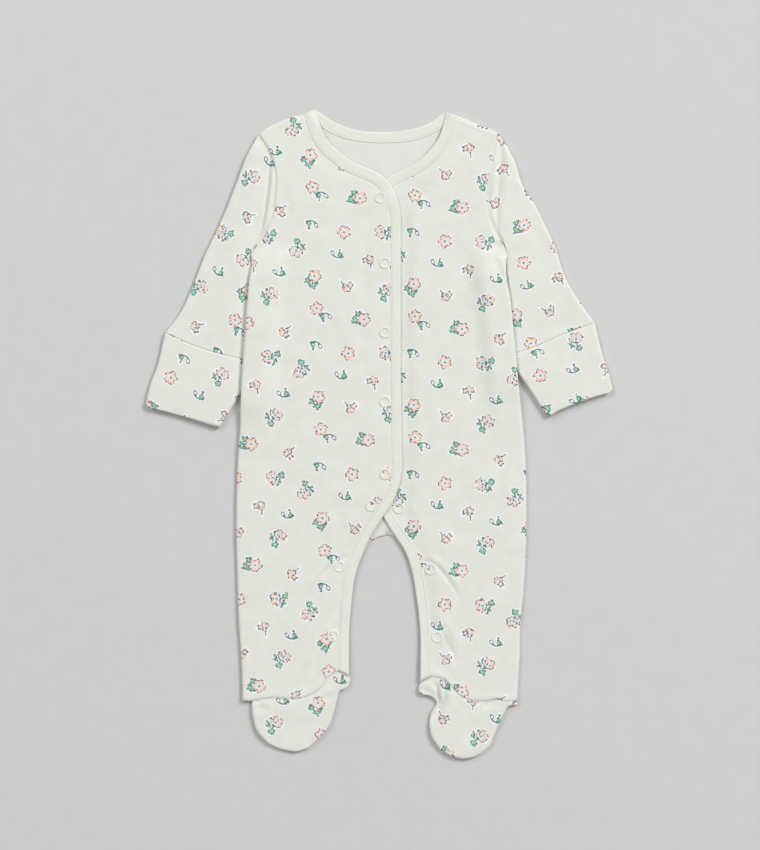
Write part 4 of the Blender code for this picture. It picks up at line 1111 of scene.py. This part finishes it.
IVORY, IVORY_SHADE = (0.795, 0.805, 0.745, 1), (0.77, 0.78, 0.72, 1)
INSIDE, INSIDE_SHADE = (0.785, 0.795, 0.745, 1), (0.76, 0.77, 0.725, 1)
CREAM, CREAM_SHADE = (0.81, 0.815, 0.735, 1), (0.79, 0.795, 0.715, 1)
WHITE, MIST = (0.95, 0.95, 0.93, 1), (0.76, 0.85, 0.87, 1)
PEACH, PEACH_PALE = (0.95, 0.60, 0.45, 1), (0.95, 0.71, 0.58, 1)
SLATE, BLUE = (0.05, 0.105, 0.17, 1), (0.10, 0.22, 0.33, 1)
LEAF, LEAF_PALE, STEM = (0.26, 0.56, 0.36, 1), (0.47, 0.76, 0.50, 1), (0.04, 0.15, 0.17, 1)


def knit(finish, place, wale=1.0, course=0.8):
    """Height of plain jersey: columns of small V shaped loops."""
    x, y, _ = finish.split(place)
    across = x * (1 / wale)
    lean = across.math("PINGPONG", 0.5)
    loop = ((y * (1 / course) + lean * 1.1) * (2 * np.pi)).math("SINE")
    column = lean.clear_of(0.0, 0.28)
    return (loop * 0.5 + 0.5) * column


def motif_at(finish, place):
    """The nearest of the print's motifs: place on it, and which one it is."""
    best = None
    for x, y, turn, motif in PRINT:
        off = place.vector("SUBTRACT", (x, y, 0))[0]
        box = (REPEAT_WIDE / 2, REPEAT_LONG / 2, 1)
        off = off.vector("WRAP", box, tuple(-n for n in box))[0]
        turned = {"Vector": off, "Rotation": (0, 0, np.radians(turn))}
        own = finish.add("ShaderNodeMapping", {"vector_type": "TEXTURE"}, turned)[0]
        reach = off.vector("LENGTH")[0]
        if best is None:
            best = own, reach, float(motif)
            continue
        closer = reach < best[1]
        best = (
            finish.blend(closer, best[0], own, "VECTOR"),
            reach.least(best[1]),
            finish.blend(closer, best[2], float(motif), "FLOAT"),
        )
    return best[0], best[2]


def printed(finish, place, cloth):
    """The cloth's colour with its print of small flowers, buds and sprigs."""
    own, motif = motif_at(finish, place)
    wander = finish.noise(place, 0.45, 1.0)
    own = own.vector("ADD", finish.join(wander * 1.2 - 0.6, 0.6 - wander * 1.2))[0]
    x, y, _ = finish.split(own)
    away_from = {kind: ((motif - kind).math("ABSOLUTE") > 0.5) * 20 for kind in (HALF, BUD, SPRIG)}
    away_from[FLOWER] = (motif > LEAFED + 0.5) * 20
    away_from[LEAFED] = ((motif - LEAFED).math("ABSOLUTE") > 0.5) * 20

    def part(ovals, kind):
        """Distance from one part of a motif, far away on the other kinds."""
        return finish.near(own, ovals)[0] + away_from[kind]

    # Petals. Each distance is in millimetres from the nearest outline, less than 0 inside it.
    out = own.vector("LENGTH")[0]
    sector = (y.math("ARCTAN2", x) - np.pi / 2).math("WRAP", np.pi / 5, -np.pi / 5)
    petal_place = finish.join(out * sector.math("COSINE"), out * sector.math("SINE"))
    flower = finish.near(petal_place, (PETAL,))[0]
    between = (np.pi / 5 - sector.math("ABSOLUTE")) * out + (out < 2.9) * 9 + (out > 5.2) * 9
    half, half_line = finish.near(own, HALF_PETALS)
    bud, bud_line = finish.near(own, BUD_PETALS)
    petal = (flower + away_from[FLOWER]).least(half + away_from[HALF]).least(bud + away_from[BUD])
    line = flower.math("ABSOLUTE") + (out < 3.2) * 9 + away_from[FLOWER]
    line = line.least(half_line + away_from[HALF]).least(bud_line + away_from[BUD])
    half_gap = (half_line - 0.35).math("ABSOLUTE") + (half > -0.2) * 9 + away_from[HALF]
    gap = (between + away_from[FLOWER]).least(half_gap)
    heart = (out - 1.0 + away_from[FLOWER]).least(part((HALF_HEART,), HALF))
    heart = heart.least(part((BUD_HEART,), BUD))
    ring = (out - 2.5 + away_from[FLOWER]).least(part((HALF_MIST,), HALF))
    ring = ring.least(part((BUD_MIST,), BUD))
    tips = part(HALF_TIPS, HALF).least(part(BUD_TIPS, BUD))

    # Leaves and stems.
    leaf = part(FLOWER_LEAVES, LEAFED).least(part(HALF_LEAVES, HALF))
    leaf = leaf.least(part(SPRIG_LEAVES, SPRIG))
    stem = part(BUD_STEM, BUD)
    stem = stem.least(part(HALF_STEM, HALF))
    bowl = finish.near(own, (SPRIG_BOWL,))[0].math("ABSOLUTE") - 0.5 + (y > -0.4) * 9
    stem = stem.least(bowl + away_from[SPRIG])
    loop = part((SPRIG_RING,), SPRIG)
    dot = part((SPRIG_DOT,), SPRIG)

    # Ink, line by line, with the thin edge of bare white round each motif.
    dry = 0.12 + finish.noise(place, 0.6, 0.0).clear_of(0.42, 0.55) * 0.88
    leaf_dry = 0.15 + finish.noise(place, 0.7, 0.0).clear_of(0.42, 0.55) * 0.85
    vein = finish.noise(place, 1.3, 0.0).clear_of(0.6, 0.68)
    edge = petal.least(leaf).least(stem).least(loop).least(dot).least(tips)
    tone = 0.88 + finish.noise(place, 1.4, 1.0) * 0.16
    colour = finish.blend(edge.up_to(0.7, 1.3) * 0.95, cloth, WHITE)
    colour = finish.blend(leaf.up_to(-0.2, 0.2) * tone, colour, LEAF)
    colour = finish.blend(leaf.up_to(-1.1, -0.3) * 0.85, colour, LEAF_PALE)
    colour = finish.blend(leaf.up_to(-0.3, 0.0) * vein * 0.7, colour, STEM)
    cover = petal.up_to(-0.2, 0.2) * tone
    colour = finish.blend(cover, colour, finish.blend(out.clear_of(2.0, 5.0), PEACH_PALE, PEACH))
    colour = finish.blend(gap.up_to(0.1, 0.5) * petal.up_to(-0.2, 0.4) * 0.75, colour, WHITE)
    colour = finish.blend(ring.up_to(-0.4, 0.3) * 0.9, colour, MIST)
    colour = finish.blend(line.up_to(0.3, 0.7) * ring.clear_of(-0.1, 0.3) * dry * 0.95, colour, SLATE)
    colour = finish.blend(tips.up_to(-0.2, 0.3) * 0.8, colour, SLATE)
    colour = finish.blend(heart.up_to(-0.35, 0.35) * 0.85, colour, BLUE)
    colour = finish.blend(loop.math("ABSOLUTE").up_to(0.25, 0.6) * 0.8, colour, SLATE)
    colour = finish.blend(leaf.math("ABSOLUTE").up_to(0.3, 0.7) * leaf_dry * 0.95, colour, STEM)
    return finish.blend(stem.least(dot).up_to(-0.1, 0.3) * 0.9, colour, STEM)


def cloth_finish(name, base, shade, with_print, wale=1.0, course=0.8, ribs=1.0):
    """Cotton jersey: knit loops with painted shade between, a slight unevenness of colour, matt fuzzy
    roughness.
    """
    finish = Finish(name)
    place = finish.cloth_place()
    patchy = finish.noise(place, 0.09, 3.0, 0.6)
    colour = finish.blend(patchy.clear_of(0.3, 0.7), shade, base)
    if with_print:
        colour = printed(finish, place, colour)
    loops = knit(finish, place, wale, course)
    fuzz = finish.noise(place, 2.2, 3.0, 0.7)
    # Painted shade darkens the colour between the knit loops. Where the fuzz is thin it is a random darker
    # tone.
    loop_shade_and_fuzz_tone = (*(0.8 * n for n in shade[:3]), 1)
    colour = finish.blend((1 - loops) * 0.05 + fuzz.up_to(0.25, 0.6) * 0.03, colour, loop_shade_and_fuzz_tone)
    height = loops * (0.55 * ribs) + fuzz * 0.45
    values = {"Strength": 0.45, "Distance": 0.00016, "Height": height}
    normal = finish.add("ShaderNodeBump", {}, values)[0]
    roughness = 0.86 + fuzz * 0.1
    sheen = {"Sheen Weight": 0.12, "Sheen Roughness": 0.5, "Specular IOR Level": 0.25}
    return finish.done({"Base Color": colour, "Roughness": roughness, "Normal": normal, **sheen})


def cap_finish():
    """Cream moulded snap cap, satin, very slightly mottled."""
    finish = Finish("cream_snap_cap")
    mottle = finish.grain(900.0, 2.0)
    colour = finish.blend(mottle.clear_of(0.3, 0.7), (0.78, 0.77, 0.69, 1), (0.82, 0.81, 0.74, 1))
    normal = finish.add("ShaderNodeBump", {}, {"Strength": 0.15, "Distance": 0.00005, "Height": mottle})[0]
    values = {"Base Color": colour, "Roughness": 0.42 + mottle * 0.12, "Normal": normal}
    return finish.done({**values, "Specular IOR Level": 0.4})


def thread_finish():
    """Cream polyester thread: fine twisted plies."""
    finish = Finish("cream_thread")
    twist = finish.grain(2500.0, 1.0)
    colour = finish.blend(twist.clear_of(0.3, 0.7), (0.60, 0.54, 0.40, 1), (0.78, 0.73, 0.60, 1))
    normal = finish.add("ShaderNodeBump", {}, {"Strength": 0.3, "Distance": 0.00008, "Height": twist})[0]
    return finish.done({"Base Color": colour, "Roughness": 0.6 + twist * 0.15, "Normal": normal})


def floor_finish():
    """Plain pale floor."""
    finish = Finish("pale_floor")
    grain = finish.grain(60.0, 4.0)
    colour = finish.blend(grain.clear_of(0.3, 0.7), (0.62, 0.62, 0.615, 1), (0.635, 0.635, 0.63, 1))
    return finish.done({"Base Color": colour, "Roughness": 0.85})


# The suit.

print_jersey = cloth_finish("printed_jersey", IVORY, IVORY_SHADE, True)
inside_jersey = cloth_finish("inside_jersey", INSIDE, INSIDE_SHADE, False, 1.0, 0.55, 1.2)
cream_binding = cloth_finish("cream_binding", CREAM, CREAM_SHADE, False, 0.9, 0.75)
snap_finish = cap_finish()
thread = thread_finish()

back = back_panel([print_jersey, inside_jersey, print_jersey, print_jersey])
right_front = front(
    "right_front_panel", "right_front", RIGHT_SIDE, RIGHT_EDGE, RIGHT_SHOULDER, RIGHT_ANKLE, print_jersey,
    (55.4, -236.3), 1.9,
)
left_front = front(
    "left_front_panel", "left_front", LEFT_SIDE, LEFT_EDGE, LEFT_SHOULDER, LEFT_ANKLE, print_jersey,
    (-24.6, -227.8),
)
right_binding = binding(
    "right_binding", "right_band", RIGHT_EDGE, 1, RIGHT_PEAK, RIGHT_BAND_FOOT, cream_binding
)
left_binding = binding(
    "left_binding", "left_band", LEFT_EDGE, -1, LEFT_PEAK, LEFT_BAND_FOOT, cream_binding
)
back_binding = neck_binding(cream_binding)
bindings = {"right": right_binding, "left": left_binding, "neck": back_binding}
for name, (_, seam, free, top) in bindings.items():
    stitches(f"{name}_binding_stitches", seam, free, top, thread)

SLEEVE_ROWS = np.concatenate([np.linspace(0, 7.9, 88), [7.93, 7.95, 7.965, 7.98, 7.99, 8]])
CUFF_ROWS = np.concatenate([[0, 0.012, 0.025, 0.04, 0.055, 0.075, 0.1], np.linspace(0.14, 3, 44)])
right_head = armhole(RIGHT_SIDE, RIGHT_SLEEVE, -1)
left_head = armhole(LEFT_SIDE, LEFT_SLEEVE, 1)
right_sleeve = tube(
    "right_sleeve_tube", "right_sleeve", RIGHT_SLEEVE, RIGHT_SIDE, 7.0, right_head, RIGHT_CUFF_SEAM,
    SLEEVE_ROWS, JERSEY_WALL, print_jersey, (-43.6, 23.0), fade=5,
)
left_sleeve = tube(
    "left_sleeve_tube", "left_sleeve", LEFT_SLEEVE, LEFT_SIDE, 1.4, left_head, LEFT_CUFF_SEAM, SLEEVE_ROWS,
    JERSEY_WALL, print_jersey, (62.4, 44.2), fade=5,
)
right_cuff = tube(
    "right_cuff_tube", "right_cuff", RIGHT_CUFF, RIGHT_SIDE, 6.0, RIGHT_CUFF_SEAM, RIGHT_CUFF_END,
    CUFF_ROWS, CUFF_WALL, print_jersey, (46.8, -99.2), turn=179.5,
)
left_cuff = tube(
    "left_cuff_tube", "left_cuff", LEFT_CUFF, LEFT_SIDE, 1.4, LEFT_CUFF_SEAM, LEFT_CUFF_END, CUFF_ROWS,
    CUFF_WALL, print_jersey, (-30.2, -83.4), turn=191.5,
)
FOOT_LAYERS = (("upper", "foot_top", True), ("sole", "sole", False))
right_upper, right_sole = (
    foot_piece(
        f"right_foot_{layer}", f"right_{node}", RIGHT_ANKLE, RIGHT_FOOT_OUTER, RIGHT_FOOT_INNER,
        RIGHT_FOOT_TOE, up, print_jersey, (73.4, 226.7), 4.2,
    )
    for layer, node, up in FOOT_LAYERS
)
left_upper, left_sole = (
    foot_piece(
        f"left_foot_{layer}", f"left_{node}", LEFT_ANKLE, LEFT_FOOT_OUTER, LEFT_FOOT_INNER,
        LEFT_FOOT_TOE, up, print_jersey, (-194.8, 205.6), -18.2,
    )
    for layer, node, up in FOOT_LAYERS
)

snaps(tree_of((right_front, left_front)), snap_finish)

# The floor, the light and the camera, straight above.


def floor(finish):
    bm = bmesh.new()
    bmesh.ops.create_grid(bm, x_segments=8, y_segments=8, size=4.0)
    placed("pale_floor", bm, [finish])


def lamp(name, place, aim, size, power):
    light = bpy.data.lights.new(name, "AREA")
    light.shape = "DISK"
    light.size = size
    light.energy = power
    thing = bpy.data.objects.new(name, light)
    bpy.context.scene.collection.objects.link(thing)
    thing.location = place
    x, y, z = np.subtract(aim, place)
    thing.rotation_euler = (np.arctan2(np.hypot(x, y), -z), 0, np.arctan2(x, -y) + np.pi)


floor(floor_finish())
lamp("right_key", (4.6, 4.0, 5.2), (0.1, 0, 0), 3.2, 410)
lamp("left_key", (-5.0, 4.6, 6.0), (0, 0, 0), 4.2, 218)

bpy.context.scene.view_settings.view_transform = "Standard"
world = bpy.data.worlds.new("soft_white")
world.use_nodes = True
world.node_tree.nodes["Background"].inputs["Color"].default_value = (1, 1, 1, 1)
world.node_tree.nodes["Background"].inputs["Strength"].default_value = 0.42
bpy.context.scene.world = world

view = bpy.data.cameras.new("above")
view.lens = 100
view.sensor_fit = "VERTICAL"
view.sensor_height = 36
camera = bpy.data.objects.new("above", view)
camera.location = (0.85 * MM, 7.65 * MM, 2.011)
bpy.context.scene.collection.objects.link(camera)
bpy.context.scene.camera = camera
